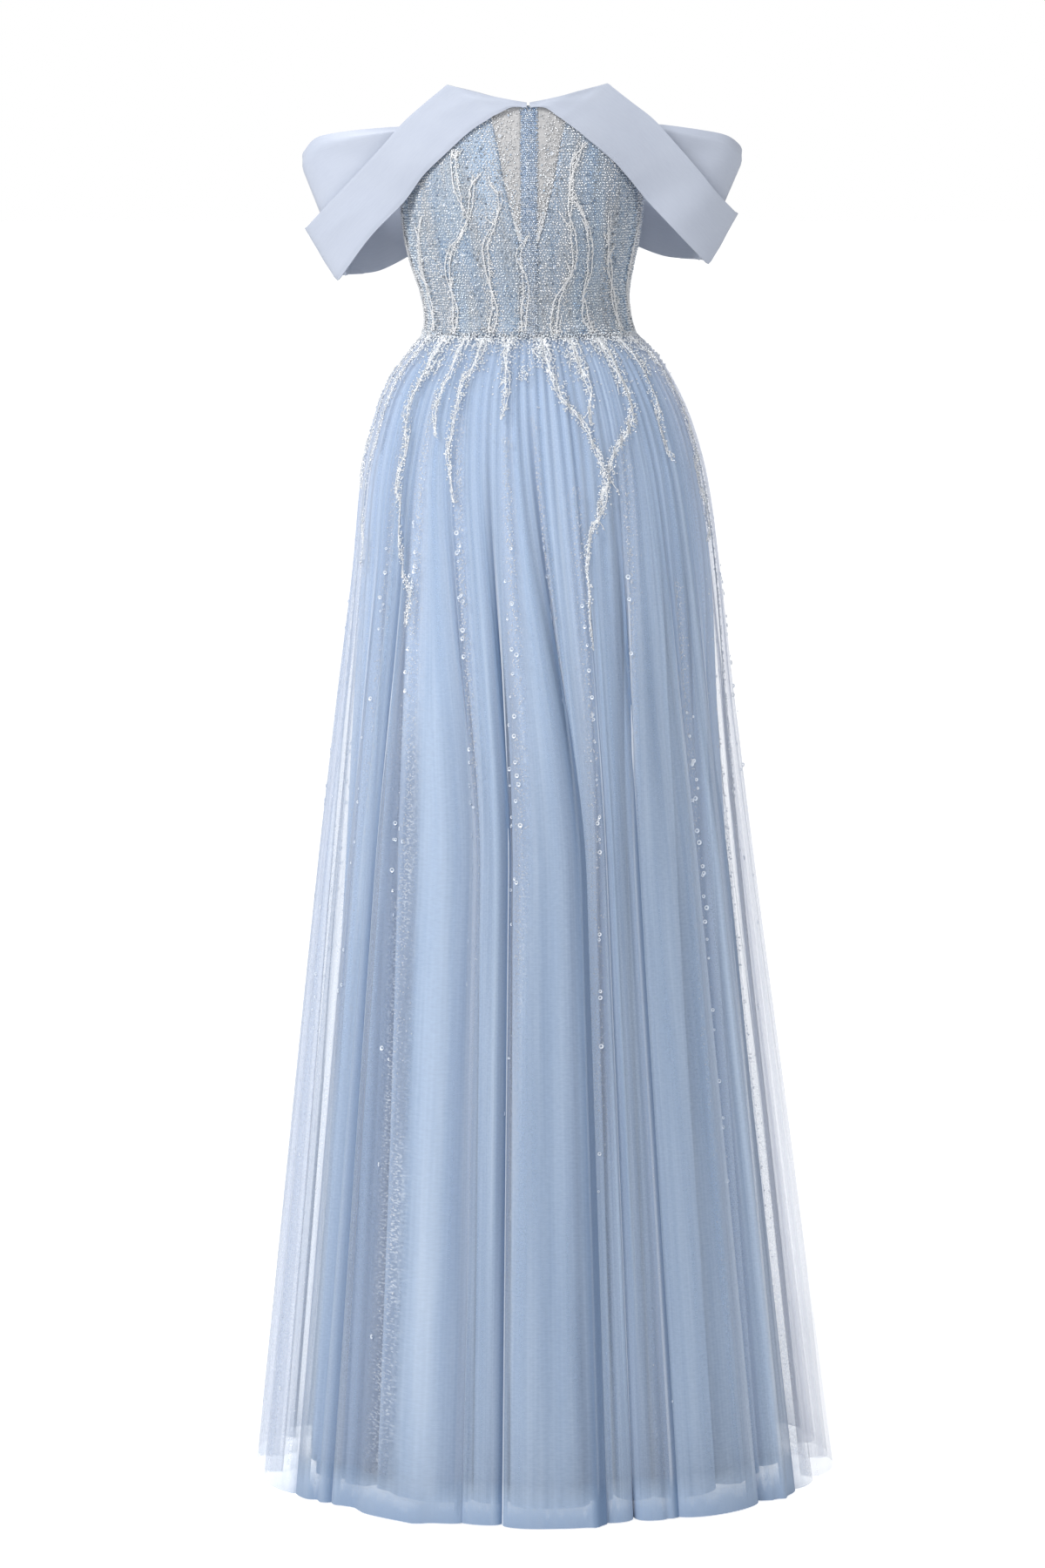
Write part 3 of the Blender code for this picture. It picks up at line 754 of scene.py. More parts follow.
def grain_group():
    """Fine uneven grain, of so many grains per metre."""
    inputs = (("Vector", "NodeSocketVector", None), ("Grains", "NodeSocketFloat", 500.0))
    group, start, end = new_group("fibre grain", inputs, ("Grain",))
    noise = new_node(
        group, "ShaderNodeTexNoise", {"Vector": start["Vector"], "Scale": start["Grains"], "Detail": 2.0}
    )
    group.links.new(range_node(group, noise.outputs[0], 0.32, 0.68), end["Grain"])
    return group


STREAKS = streaks_group()
WEAVE = weave_group()
GRAIN = grain_group()


def group_node(tree, group, vector, **values):
    node = new_node(tree, "ShaderNodeGroup", node_tree=group)
    tree.links.new(vector, node.inputs["Vector"])
    for key, value in values.items():
        node.inputs[key].default_value = value
    return node.outputs


def new_material(name, roughness, **constants):
    """A material, its node tree and its shader, with constants for the shader's sockets."""
    made = bpy.data.materials.new(name)
    made.use_nodes = True
    tree = made.node_tree
    shader = tree.nodes["Principled BSDF"]
    shader.inputs["Roughness"].default_value = roughness
    for key, value in constants.items():
        shader.inputs[key.replace("_", " ")].default_value = value
    return made, tree, shader


def cloth_vector(tree):
    return new_node(tree, "ShaderNodeUVMap", uv_map="cloth").outputs[0]


def object_vector(tree):
    return new_node(tree, "ShaderNodeTexCoord").outputs["Object"]


def attribute_value(tree, name):
    return new_node(tree, "ShaderNodeAttribute", attribute_name=name).outputs["Fac"]


def bump(tree, shader, height, depth, strength=1.0):
    node = new_node(tree, "ShaderNodeBump", {"Height": height, "Distance": depth, "Strength": strength})
    tree.links.new(node.outputs[0], shader.inputs["Normal"])


def colour(tree, shader, value):
    tree.links.new(value, shader.inputs["Base Color"])


def satin_finish():
    made, tree, shader = new_material("satin", 0.40, Sheen_Weight=0.15, Sheen_Roughness=0.4)
    vector = cloth_vector(tree)
    threads = group_node(tree, WEAVE, vector, Threads=1500.0)
    slub = group_node(tree, STREAKS, vector, Across=60.0, Down=700.0)[0]
    cloud = group_node(tree, GRAIN, vector, Grains=14.0)[0]
    base = blend_node(tree, cloud, (0.525, 0.570, 0.680), (0.560, 0.605, 0.710))
    colour(tree, shader, blend_node(tree, math_node(tree, "MULTIPLY", slub, 0.35), base, (0.62, 0.67, 0.77)))
    height = math_node(tree, "ADD", threads["Height"], math_node(tree, "MULTIPLY", slub, 0.8))
    bump(tree, shader, height, 0.00006, 0.5)
    tree.links.new(range_node(tree, slub, 0.0, 1.0, 0.36, 0.46), shader.inputs["Roughness"])
    return made


def outer_tulle_finish():
    """Sheer net, led by five attributes.

    It is denser where cover is high, and lies in painted shade where valley is. Where open is high nothing is
    behind it, and a faint glow stands for the light that comes through. Light lines show where edge is high
    and spread is near 0, as it is along the turned edges of the folds: the net is denser there, and its light
    colour is a painted highlight.
    """
    made, tree, shader = new_material("overskirt_tulle", 0.65, Sheen_Weight=0.25, Sheen_Roughness=0.5)
    vector = cloth_vector(tree)
    streaks = group_node(tree, STREAKS, vector, Across=110.0, Down=1.6)[0]
    net = group_node(tree, WEAVE, vector, Threads=620.0)
    grain = group_node(tree, GRAIN, vector, Grains=420.0)[0]
    cover = attribute_value(tree, "cover")
    valley = attribute_value(tree, "valley")
    spread = attribute_value(tree, "spread")
    turning = range_node(tree, spread, 0.62, 0.36)
    turned = math_node(tree, "MULTIPLY", turning, range_node(tree, spread, -0.3, -0.1))
    line = math_node(tree, "MULTIPLY", attribute_value(tree, "edge"), turned)
    sheer = blend_node(tree, streaks, (0.66, 0.71, 0.84), (0.80, 0.83, 0.91))
    folded = blend_node(tree, streaks, (0.48, 0.60, 0.78), (0.60, 0.70, 0.84))
    cloth = blend_node(tree, math_node(tree, "MINIMUM", cover, 1.0), sheer, folded)
    # Painted shade: the colour turns deep blue beside the valleys and in the creases.
    cloth = blend_node(tree, valley, cloth, (0.12, 0.21, 0.37))
    # Painted highlight along the turned edges, where the net is also denser.
    colour(tree, shader, blend_node(tree, line, cloth, (0.88, 0.93, 1.00)))
    alpha = math_node(tree, "ADD", math_node(tree, "MULTIPLY", streaks, 0.07), 0.075)
    alpha = math_node(tree, "ADD", alpha, math_node(tree, "MULTIPLY", grain, 0.06))
    dense = math_node(tree, "MULTIPLY", cover, range_node(tree, streaks, 0.0, 1.0, 0.20, 0.33))
    alpha = math_node(tree, "ADD", alpha, dense)
    # The net is denser along the turned edges, and more opaque where the shade is painted.
    alpha = math_node(tree, "ADD", alpha, math_node(tree, "MULTIPLY", line, 0.45))
    alpha = math_node(tree, "ADD", alpha, math_node(tree, "MULTIPLY", valley, 0.42))
    alpha = math_node(tree, "SUBTRACT", alpha, math_node(tree, "MULTIPLY", net["Gaps"], 0.04), clamp=True)
    tree.links.new(alpha, shader.inputs["Alpha"])
    glow = blend_node(tree, attribute_value(tree, "open"), (0.0, 0.0, 0.0), (0.84, 0.80, 0.88))
    tree.links.new(glow, shader.inputs["Emission Color"])
    shader.inputs["Emission Strength"].default_value = NET_GLOW
    bump(tree, shader, net["Height"], 0.0001, 0.3)
    return made


def glitter_tulle_finish():
    """Net with frosty bands, where its attribute band is high, and bright specks in them."""
    made, tree, shader = new_material("glitter_tulle", 0.45, Sheen_Weight=0.2, Sheen_Roughness=0.5)
    vector = cloth_vector(tree)
    streaks = group_node(tree, STREAKS, vector, Across=60.0, Down=4.0)[0]
    grain = group_node(tree, GRAIN, vector, Grains=430.0)[0]
    speck = new_node(tree, "ShaderNodeTexVoronoi", {"Vector": vector, "Scale": 330.0}).outputs["Distance"]
    band = attribute_value(tree, "band")
    patch = math_node(tree, "MULTIPLY", band, range_node(tree, streaks, 0.15, 0.85, 0.25, 1.0))
    dots = math_node(tree, "MULTIPLY", range_node(tree, speck, 0.34, 0.16), patch, clamp=True)
    flecks = math_node(tree, "MULTIPLY", range_node(tree, grain, 0.40, 0.90), patch, clamp=True)
    base = blend_node(tree, flecks, (0.50, 0.67, 0.92), (0.93, 0.97, 1.0))
    colour(tree, shader, blend_node(tree, dots, base, (0.98, 0.99, 1.0)))
    alpha = math_node(tree, "ADD", math_node(tree, "MULTIPLY", patch, 0.16), 0.03)
    alpha = math_node(tree, "ADD", alpha, math_node(tree, "MULTIPLY", flecks, 0.60), clamp=True)
    alpha = math_node(tree, "MAXIMUM", alpha, math_node(tree, "MULTIPLY", dots, 0.98))
    tree.links.new(alpha, shader.inputs["Alpha"])
    return made


def lining_finish():
    """Smooth cloth with painted shade, in deep blue, where its attribute valley is high."""
    made, tree, shader = new_material("underskirt_cloth", 0.6, Sheen_Weight=0.1)
    vector = cloth_vector(tree)
    threads = group_node(tree, WEAVE, vector, Threads=1100.0)
    streaks = group_node(tree, STREAKS, vector, Across=40.0, Down=1.0)[0]
    open_cloth = blend_node(tree, streaks, (0.420, 0.555, 0.755), (0.480, 0.605, 0.795))
    # Painted shade: deep blue where valley is high.
    colour(tree, shader, blend_node(tree, attribute_value(tree, "valley"), open_cloth, (0.070, 0.135, 0.260)))
    bump(tree, shader, threads["Height"], 0.00004, 0.2)
    return made


def beaded_cloth_finish():
    made, tree, shader = new_material("beaded_tulle", 0.35, Metallic=0.15)
    vector = cloth_vector(tree)
    streaks = group_node(tree, STREAKS, vector, Across=55.0, Down=9.0)[0]
    seeds = new_node(tree, "ShaderNodeTexVoronoi", {"Vector": vector, "Scale": 620.0})
    grain = group_node(tree, GRAIN, vector, Grains=700.0)[0]
    base = blend_node(tree, streaks, (0.36, 0.39, 0.43), (0.31, 0.43, 0.60))
    light = blend_node(tree, grain, base, (0.80, 0.83, 0.86))
    colour(tree, shader, blend_node(tree, range_node(tree, seeds.outputs["Distance"], 0.2, 0.6), light, base))
    bump(tree, shader, range_node(tree, seeds.outputs["Distance"], 0.0, 0.7, 1.0, 0.0), 0.0006, 0.9)
    return made


def illusion_finish():
    made, tree, shader = new_material("illusion_tulle", 0.7)
    vector = cloth_vector(tree)
    net = group_node(tree, WEAVE, vector, Threads=900.0)
    grain = group_node(tree, GRAIN, vector, Grains=500.0)[0]
    colour(tree, shader, blend_node(tree, grain, (0.49, 0.485, 0.49), (0.66, 0.655, 0.655)))
    cover = math_node(tree, "SUBTRACT", 0.90, math_node(tree, "MULTIPLY", net["Gaps"], 0.2))
    tree.links.new(cover, shader.inputs["Alpha"])
    bump(tree, shader, net["Height"], 0.0001, 0.4)
    return made


def tone_ramp(tree, tone, dark, mid, bright):
    ramp = new_node(tree, "ShaderNodeValToRGB", {"Fac": tone})
    ramp.color_ramp.elements[0].color = (*dark, 1.0)
    ramp.color_ramp.elements[1].color = (*bright, 1.0)
    ramp.color_ramp.elements.new(0.5).color = (*mid, 1.0)
    return ramp.outputs[0]


def bead_finish(name, silver, blue):
    """Glass beads: tone runs from the dark to the bright end of a ramp, and blueness between two ramps."""
    made, tree, shader = new_material(name, 0.17, Metallic=0.35, Coat_Weight=0.3)
    tone = attribute_value(tree, "tone")
    ramps = [tone_ramp(tree, tone, *tones) for tones in (silver, blue)]
    glass_colour = blend_node(tree, attribute_value(tree, "blueness"), *ramps)
    grain = group_node(tree, GRAIN, object_vector(tree), Grains=900.0)[0]
    colour(tree, shader, blend_node(tree, math_node(tree, "MULTIPLY", grain, 0.2), glass_colour, silver[2]))
    return made


def sequin_finish():
    made, tree, shader = new_material("sequins", 0.30, Metallic=0.2, Coat_Weight=0.25)
    tone = attribute_value(tree, "tone")
    tint = group_node(tree, GRAIN, object_vector(tree), Grains=260.0)[0]
    pearl = blend_node(tree, tint, (0.64, 0.72, 0.84), (0.74, 0.80, 0.89))
    colour(tree, shader, blend_node(tree, tone, pearl, (0.84, 0.88, 0.94)))
    return made


def cord_finish():
    made, tree, shader = new_material("cord_thread", 0.55, Sheen_Weight=0.3)
    vector = object_vector(tree)
    twist = group_node(tree, WEAVE, vector, Threads=480.0)
    grain = group_node(tree, GRAIN, vector, Grains=260.0)[0]
    colour(tree, shader, blend_node(tree, grain, (0.72, 0.73, 0.76), (0.90, 0.90, 0.90)))
    bump(tree, shader, twist["Height"], 0.0003, 0.8)
    return made


def hook_finish():
    made, tree, shader = new_material("hook_metal", 0.3, Metallic=1.0)
    wear = group_node(tree, GRAIN, object_vector(tree), Grains=900.0)[0]
    colour(tree, shader, blend_node(tree, wear, (0.55, 0.56, 0.58), (0.72, 0.73, 0.75)))
    return made


def floor_finish():
    """Pale paper that glows only to the eye, so that it is white as the background and lights nothing."""
    made, tree, shader = new_material("floor_paper", 0.9)
    shader.inputs["Emission Color"].default_value = (1.0, 1.0, 1.0, 1.0)
    seen = new_node(tree, "ShaderNodeLightPath").outputs["Is Camera Ray"]
    tree.links.new(math_node(tree, "MULTIPLY", seen, FLOOR_GLOW), shader.inputs["Emission Strength"])
    fibres = group_node(tree, GRAIN, object_vector(tree), Grains=30.0)[0]
    colour(tree, shader, blend_node(tree, fibres, (0.895, 0.895, 0.895), (0.91, 0.91, 0.91)))
    return made


# ---------------------------------------------------------------- skirts

TULLE_GRID = (40, 68)  # columns in each fold, and rows
TULLE_MAP_WIDTH = 2.10
GLITTER_GRID = (18, 54)
GLITTER_MAP_WIDTH = 1.75
LINING_GRID = (26, 52)
LINING_MAP_WIDTH = 1.55
ROWS_CROWD_AT_WAIST = 1.3
GORES = ["front", "front_left", "left", "back_left", "back", "back_right", "right", "front_right"]

LEFT_SIDE_COVER = 0.22  # how dense the open net looks at the wearer's left, as a share of the folds
RIGHT_SIDE_COVER = 0.72  # and at the wearer's right
CENTRE_BACK = 14  # the place of the centre back, in folds
SIDES_FROM = 0.83  # sine of the turn at which the net starts to hang open, and how much more it takes
SIDES_OVER = 0.13
HEM_BAND = 0.030  # where the net is doubled and denser at its hem
HEM_COVER = 3.0
SPREAD_STEP = 0.004  # in folds, to either side of where the spread is measured

# The painted shade beside the valleys and in the creases: how wide it is, where it starts, and how deep a
# crease is for the darkest shade.
NET_SHADE_WIDTH = 2.8  # how wide the dark part beside a valley is, in degrees
GLITTER_SHADE_WIDTH = 3.0
LINING_SHADE_WIDTH = 3.6
SHADE_STARTS = 0.03  # depth below the waist at which the shade starts, and the length over which it deepens
SHADE_DEEPENS = 0.3
DARK_CREASE = 0.006  # a crease this deep is as dark as a crease gets
HIGH_CREASE = 0.004  # a crease that stands out this far is as dense as a crease gets

BAND_FADE = 0.12  # the length over which a frosty band starts and ends
BAND_STARTS_ABOVE = 0.04
BAND_END_SHIFT = 0.2


def skirt_mesh(name, layer, grid, top, size):
    """One layer of the skirt, from its top down to the hem, which is the size's length below the waist."""
    columns_per_fold, rows = grid
    bottom = -size[1]

    def place(along, up):
        return skirt_surface(along * FOLD_COUNT, bottom + (top - bottom) * up, layer)

    columns = columns_per_fold * FOLD_COUNT
    return sheet_mesh(name, columns, rows, place, size, closed=True, crowding=ROWS_CROWD_AT_WAIST)


def set_mask(mesh, name, size, mask):
    """An attribute of values of mask(place in folds, height), found from each corner's UV."""
    corners = np.empty(len(mesh.loops) * 2, np.float32)
    mesh.uv_layers["cloth"].data.foreach_get("uv", corners)
    owners = np.empty(len(mesh.loops), np.int32)
    mesh.loops.foreach_get("vertex_index", owners)
    values = np.zeros(len(mesh.vertices), np.float32)
    values[owners] = mask(corners[0::2] / size[0] * FOLD_COUNT, corners[1::2] - size[1])
    layer = mesh.attributes.new(name, "FLOAT", "POINT")
    layer.data.foreach_set("value", values)


def band_place(band, depth):
    return band.at_waist + (band.at_hem - band.at_waist) * depth / SKIRT_LENGTH


def band_share(place, height):
    """How much of the frosty bands there is at some places."""
    depth = -height
    total = np.zeros_like(place)
    for band in BANDS:
        away = folds_away(place, band_place(band, depth))
        start = eased((depth - band.top + BAND_STARTS_ABOVE) / BAND_FADE)
        length = start * eased((band.bottom - depth) / BAND_FADE + BAND_END_SHIFT)
        across = np.exp(-np.abs(away / band.half_width) ** 3)
        total = np.maximum(total, band.fullness * length * across)
    return total


def sideways(place):
    """How far round to the sides a place is, where the net hangs single and open: 0 to 1."""
    turn = np.radians(FIRST_VALLEY_AT_WAIST + place * 360 / FOLD_COUNT)
    return eased((np.abs(np.sin(turn)) - SIDES_FROM) / SIDES_OVER)


def nearer_valley(place):
    """Each place's fold, whether it is in its first half, and the signed shade of the nearer valley."""
    number = np.floor(place + MAP_ROUNDING).astype(int)
    first_half = place - number < 0.5
    return number, first_half, np.array(PAINTED_VALLEY_SHADES)[(number + 1 - first_half) % FOLD_COUNT]


def painted_valley_shade(place, height, layer, width):
    """Painted shade beside the valleys: up to 1, fading over some degrees to each valley's dark side."""
    number, first_half, shade = nearer_valley(place)
    seen = seen_place(place, height, layer) - number
    fold_span = valley_turn(number + 1, height) - valley_turn(number, height)
    inside = np.maximum(np.where(first_half, seen, 1 - seen), 0.0) * fold_span
    dark_here = np.where(first_half == (shade > 0), np.abs(shade), 0.0)
    return dark_here * np.exp(-((inside / width) ** 2)) * eased((-height - SHADE_STARTS) / SHADE_DEEPENS)


# Painted shade in the creases, from 0 to 1 by how deep they are.
def painted_crease_shade(place, height):
    return np.clip(crease_depth(place, height) / DARK_CREASE, 0.0, 1.0)


def hem_share(height):
    return np.exp(-(((height + SKIRT_LENGTH) / HEM_BAND) ** 4))


def net_spread(place, height):
    """How spread out the net is seen: 1 facing the eye, 0 where a fold turns back, below 0 behind it."""
    before = seen_place(place - SPREAD_STEP, height, OUTER_TULLE)
    return (seen_place(place + SPREAD_STEP, height, OUTER_TULLE) - before) / (2 * SPREAD_STEP)


def lining_painted_shade(place, height):
    """The lining's painted shade between the folds: 0 on the ridges and 1 in the deepest valleys."""
    folds = painted_valley_shade(place, height, LINING, LINING_SHADE_WIDTH)
    return np.clip(np.maximum(folds, 0.7 * painted_crease_shade(place, height)), 0.0, 1.0)


def net_painted_shade(place, height):
    """Painted shade where the fold beside it shades the net and in its creases; darker at the hem, where it is
    doubled.
    """
    creases = 0.5 * painted_crease_shade(place, height) * eased((-height - 0.05) / 0.25)
    folds = np.maximum(painted_valley_shade(place, height, OUTER_TULLE, NET_SHADE_WIDTH), creases)
    return np.maximum(folds, 0.6 * hem_share(height)) * (1 - sideways(place))


def dense_edge_and_highlight(place, height):
    """Painted highlight on the denser net along the folds' upper edges, not in the shade or in the gathers at
    the waist.
    """
    _, first_half, shade = nearer_valley(place)
    over = np.where(first_half == (shade > 0), 0.0, 0.5 + 0.5 * np.abs(shade))
    return over * eased((-height - 0.10) / 0.3) * (1 - 0.5 * sideways(place))


def net_cover(place, height):
    """How dense the net looks: high on the folds and at the hem, low in the walls behind and in the bands."""
    ridges = 1 + 0.6 * np.clip(-crease_depth(place, height) / HIGH_CREASE, 0.0, 1.0)
    shade = painted_valley_shade(place, height, OUTER_TULLE, NET_SHADE_WIDTH)
    # The net opens in the painted shade, so that the lining's painted shade shows through.
    open_net = (1 - 0.75 * band_share(place, height)) * (1 - 0.6 * shade)
    panel = eased((net_spread(place, height) + 0.1) / 0.7) * open_net * ridges
    side = sideways(place)
    side_cover = np.where((place > 0) & (place < CENTRE_BACK), LEFT_SIDE_COVER, RIGHT_SIDE_COVER)
    hem = HEM_COVER * hem_share(height) * (1 - 0.85 * side)
    return np.maximum(panel * (1 - side) + side_cover * side, hem)


def make_outer_tulle(finish):
    size = (TULLE_MAP_WIDTH, SKIRT_LENGTH)
    mesh = skirt_mesh("tulle_overskirt", OUTER_TULLE, TULLE_GRID, -WAIST_SEAM_GAP, size)
    set_mask(mesh, "cover", size, net_cover)
    # The attribute edge carries the painted highlight on the turned edges, where the net is also denser.
    set_mask(mesh, "edge", size, dense_edge_and_highlight)
    set_mask(mesh, "spread", size, net_spread)
    set_mask(mesh, "open", size, lambda place, height: sideways(place))
    # The attribute valley carries the net's painted shade.
    set_mask(mesh, "valley", size, net_painted_shade)
    piece = finished(mesh, finish, [f"overskirt_{gore}" for gore in GORES])


def make_glitter_tulle(finish):
    length = SKIRT_LENGTH - GLITTER_SHORTER
    size = (GLITTER_MAP_WIDTH, length)
    mesh = skirt_mesh("glitter_tulle", GLITTER_TULLE, GLITTER_GRID, -WAIST_SEAM_GAP, size)

    def frost(place, height):
        hem = 0.5 * np.exp(-(((height + length) / HEM_BAND) ** 2))
        waist = 0.48 * np.exp(height / 0.16)
        # The frost fades in the painted shade beside the valleys.
        shade = 1 - 0.75 * painted_valley_shade(place, height, GLITTER_TULLE, GLITTER_SHADE_WIDTH)
        return np.maximum(np.maximum(band_share(place, height), 0.10 + waist) * shade, hem)

    set_mask(mesh, "band", size, frost)
    piece = finished(mesh, finish)


def make_lining(finish):
    length = SKIRT_LENGTH - LINING_SHORTER
    size = (LINING_MAP_WIDTH, length)
    mesh = skirt_mesh("lining_skirt", LINING, LINING_GRID, WAIST_TUCK, size)
    # The attribute valley carries the lining's painted shade.
    set_mask(mesh, "valley", size, lining_painted_shade)
    piece = finished(mesh, finish, [f"underskirt_{gore}" for gore in GORES])
    give_wall(piece, LINING_WALL)


# ---------------------------------------------------------------- bodice

HALF_SEAM_TURN = math.degrees(SEAM_GAP / 2 / BODICE[0].right)


def make_front(side, name, cloth):
    """One beaded front. The side is -1 for the wearer's right and 1 for the left."""

    def place(along, up):
        from_centre = along if side > 0 else 1 - along
        inner = inset_turn(side, up, SEAM_GAP)
        side_seam = side * (90 - HALF_SEAM_TURN)
        turn = inner + (side_seam - inner) * from_centre
        return bodice_surface(turn, up * bodice_top(turn))

    mesh = sheet_mesh(f"beaded_front_{name}", 46, 44, place, (0.18, 0.22))
    panel = finished(mesh, cloth, [f"bodice_front_{name}"])
    give_wall(panel, BODICE_WALL)


def make_inset(side, name, net):
    """One tapering piece of plain net between the placket and a front."""

    def place(along, up):
        from_centre = along if side > 0 else 1 - along
        share = INSET_START + (1 - INSET_START) * up
        inner = turn_of_width(side * (PLACKET_HALF_WIDTH + SEAM_GAP), share * NECK_POINT_HEIGHT)
        turn = inner + (inset_turn(side, share, 0.0) - inner) * from_centre
        return bodice_surface(turn, share * NECK_POINT_HEIGHT)

    mesh = sheet_mesh(f"illusion_inset_{name}", 8, 30, place, (0.033, 0.135))
    gusset = finished(mesh, net, [f"inset_{name}"])
    give_wall(gusset, INSET_WALL)


def make_back(first, last, name, cloth):
    """One beaded back between two turns."""

    def place(along, up):
        turn = first + HALF_SEAM_TURN + (last - first - 2 * HALF_SEAM_TURN) * along
        return bodice_surface(turn, up * bodice_top(turn))

    mesh = sheet_mesh(f"beaded_back_{name}", 40, 34, place, (0.18, 0.155))
    panel = finished(mesh, cloth, [f"bodice_back_{name}"])
    give_wall(panel, BODICE_WALL)


def make_placket(cloth):
    def place(along, up):
        height = up * NECK_POINT_HEIGHT
        turn = turn_of_width(PLACKET_HALF_WIDTH * (2 * along - 1), height)
        return bodice_surface(turn, height, PLACKET_LIFT)

    mesh = sheet_mesh("placket_strip", 8, 60, place, (0.0144, 0.24))
    strip = finished(mesh, cloth, ["placket"])
    give_wall(strip, BODICE_WALL)


def make_bodice(cloth, net):
    for side, name in ((-1, "right"), (1, "left")):
        make_front(side, name, cloth)
        make_inset(side, name, net)
    for first, last, name in ((90, 180, "left"), (180, 270, "right")):
        make_back(first, last, name, cloth)
    make_placket(cloth)


# ---------------------------------------------------------------- bodice beads

BEAD_ROW_SPACING = BEAD_SPACING * 0.866  # rows as close as round beads can lie
FRINGE_START = 0.0015  # beads stay this far from the insets, apart from the fringe that runs in over them
FRINGE_REACH = 0.022
PLACKET_BEAD_RADIUS = 0.00115
PLACKET_BEAD_ROWS = 9
WAIST_BEAD_TURN = 1.25
WAIST_BEAD_ROWS = 4
WAIST_BEAD_LIFT = 0.0015
BODICE_SEQUINS = 80


def streak(turn, height, lines, seed):
    """Long soft streaks over the bodice, about -1 to 1, with so many lines around it."""
    angle = np.radians(turn)
    sway = 0.5 * np.sin(14 * height + 2 * angle + seed)
    coarse = np.sin(lines * angle + sway + seed)
    fine = np.sin(2.3 * lines * angle - 1.7 * sway + 30 * height * math.sin(seed))
    return 0.65 * coarse + 0.5 * fine


def bead_rows(random, turns, heights, shift, scatter=0.16):
    """A staggered grid of bead places, a little scattered, as two flat arrays."""
    turn, height = (grid.ravel() for grid in np.meshgrid(turns, heights))
    row_step = heights[1] - heights[0]
    turn_step = turns[1] - turns[0]
    row = np.round((height - heights[0]) / row_step)
    turn = turn + (row % 2) * turn_step * shift + random.normal(0, scatter, turn.size) * turn_step
    return turn, height + random.normal(0, scatter, height.size) * row_step


def bead_panels(random, glass):
    """Beads all over the fronts and backs, in streaks of tone, with a fringe of them over the insets."""
    turn_step = math.degrees(BEAD_SPACING / BODICE_MEAN_RADIUS)
    heights = np.arange(0.0025, NECK_POINT_HEIGHT - 0.002, BEAD_ROW_SPACING)
    for name, first, last in (("front", -90, 90), ("back", 90, 270)):
        turn, height = bead_rows(random, np.arange(first, last, turn_step), heights, 0.5)
        share = height / NECK_POINT_HEIGHT
        fringe = FRINGE_START - FRINGE_REACH * random.uniform(0, 1, turn.size) ** 2.2
        right_inset, left_inset = inset_turn(-1, share, fringe), inset_turn(1, share, fringe)
        on_cloth = (height < bodice_top(turn) - 0.002) & ((turn < right_inset) | (turn > left_inset))
        over_net = (turn > inset_turn(-1, share, 0.0)) & (turn < inset_turn(1, share, 0.0))
        turn, height, over_net = turn[on_cloth], height[on_cloth], over_net[on_cloth]
        points, normals = lifted(bodice_surface, turn, height, BEAD_LIFT)
        tones = 0.93 + 0.28 * streak(turn, height, 19, 0.7) + random.normal(0, 0.36, turn.size)
        tones = np.clip(np.where(over_net, np.maximum(tones, 0.50), tones), 0, 1)
        blueness = 0.42 + 0.90 * streak(turn, height, 11, 2.1) + random.normal(0, 0.12, turn.size)
        blueness = np.clip(blueness, 0, 1)
        sizes = BEAD_RADIUS * random.uniform(0.65, 1.25, turn.size)
        mesh = joined_copies(f"bodice_beads_{name}", bead_shape(), points, normals, sizes, tones, blueness)
        finished(mesh, glass)


def bead_placket(random, glass):
    widths = np.linspace(-1, 1, PLACKET_BEAD_ROWS) * (PLACKET_HALF_WIDTH + 0.0006)
    heights = np.arange(0.002, NECK_POINT_HEIGHT - 0.001, 0.0021)
    width, height = bead_rows(random, widths, heights, 0.3)
    points, normals = lifted(bodice_surface, turn_of_width(width, height), height, PLACKET_LIFT + 0.0004)
    tones = np.clip(random.normal(0.64, 0.26, width.size), 0, 1)
    sizes = np.full(width.size, PLACKET_BEAD_RADIUS)
    blueness = np.clip(0.3 + 2.4 * height + random.normal(0, 0.15, width.size), 0, 1)
    mesh = joined_copies("placket_beads", bead_shape(), points, normals, sizes, tones, blueness)
    finished(mesh, glass)


def bead_waist(random, glass):
    """A few rows of beads over the waist seam, which hang straight down from the bodice's edge."""
    turns = np.arange(0, 360, WAIST_BEAD_TURN)
    turn, height = bead_rows(random, turns, np.linspace(-0.0024, 0.0020, WAIST_BEAD_ROWS), 0.5, 0.3)
    points, normals = lifted(bodice_surface, turn, np.maximum(height, 0.0), WAIST_BEAD_LIFT)
    points[:, 2] = height
    tones = np.clip(random.normal(0.8, 0.2, turn.size), 0, 1)
    sizes = random.uniform(0.0009, 0.0014, turn.size)
    blueness = random.uniform(0, 0.7, turn.size)
    mesh = joined_copies("waist_beads", bead_shape(), points, normals, sizes, tones, blueness)
    finished(mesh, glass)


def bead_insets(random, glass):
    """Single beads on the insets, crowded towards their lower ends."""
    share = INSET_START + (0.98 - INSET_START) * random.uniform(0, 1, INSET_BEADS) ** 1.9
    side = random.choice((-1.0, 1.0), share.size)
    reach = read(INSET_EDGE, "reach", share, key="share") * random.uniform(0.0, 1.0, share.size) ** 0.6
    turn = turn_of_width(side * (PLACKET_HALF_WIDTH + reach), share * NECK_POINT_HEIGHT)
    points, normals = lifted(bodice_surface, turn, share * NECK_POINT_HEIGHT, 0.0006)
    sizes = random.uniform(0.0006, 0.0013, share.size)
    tones = random.uniform(0.5, 1, share.size)
    mesh = joined_copies("inset_beads", bead_shape(), points, normals, sizes, tones)
    finished(mesh, glass)


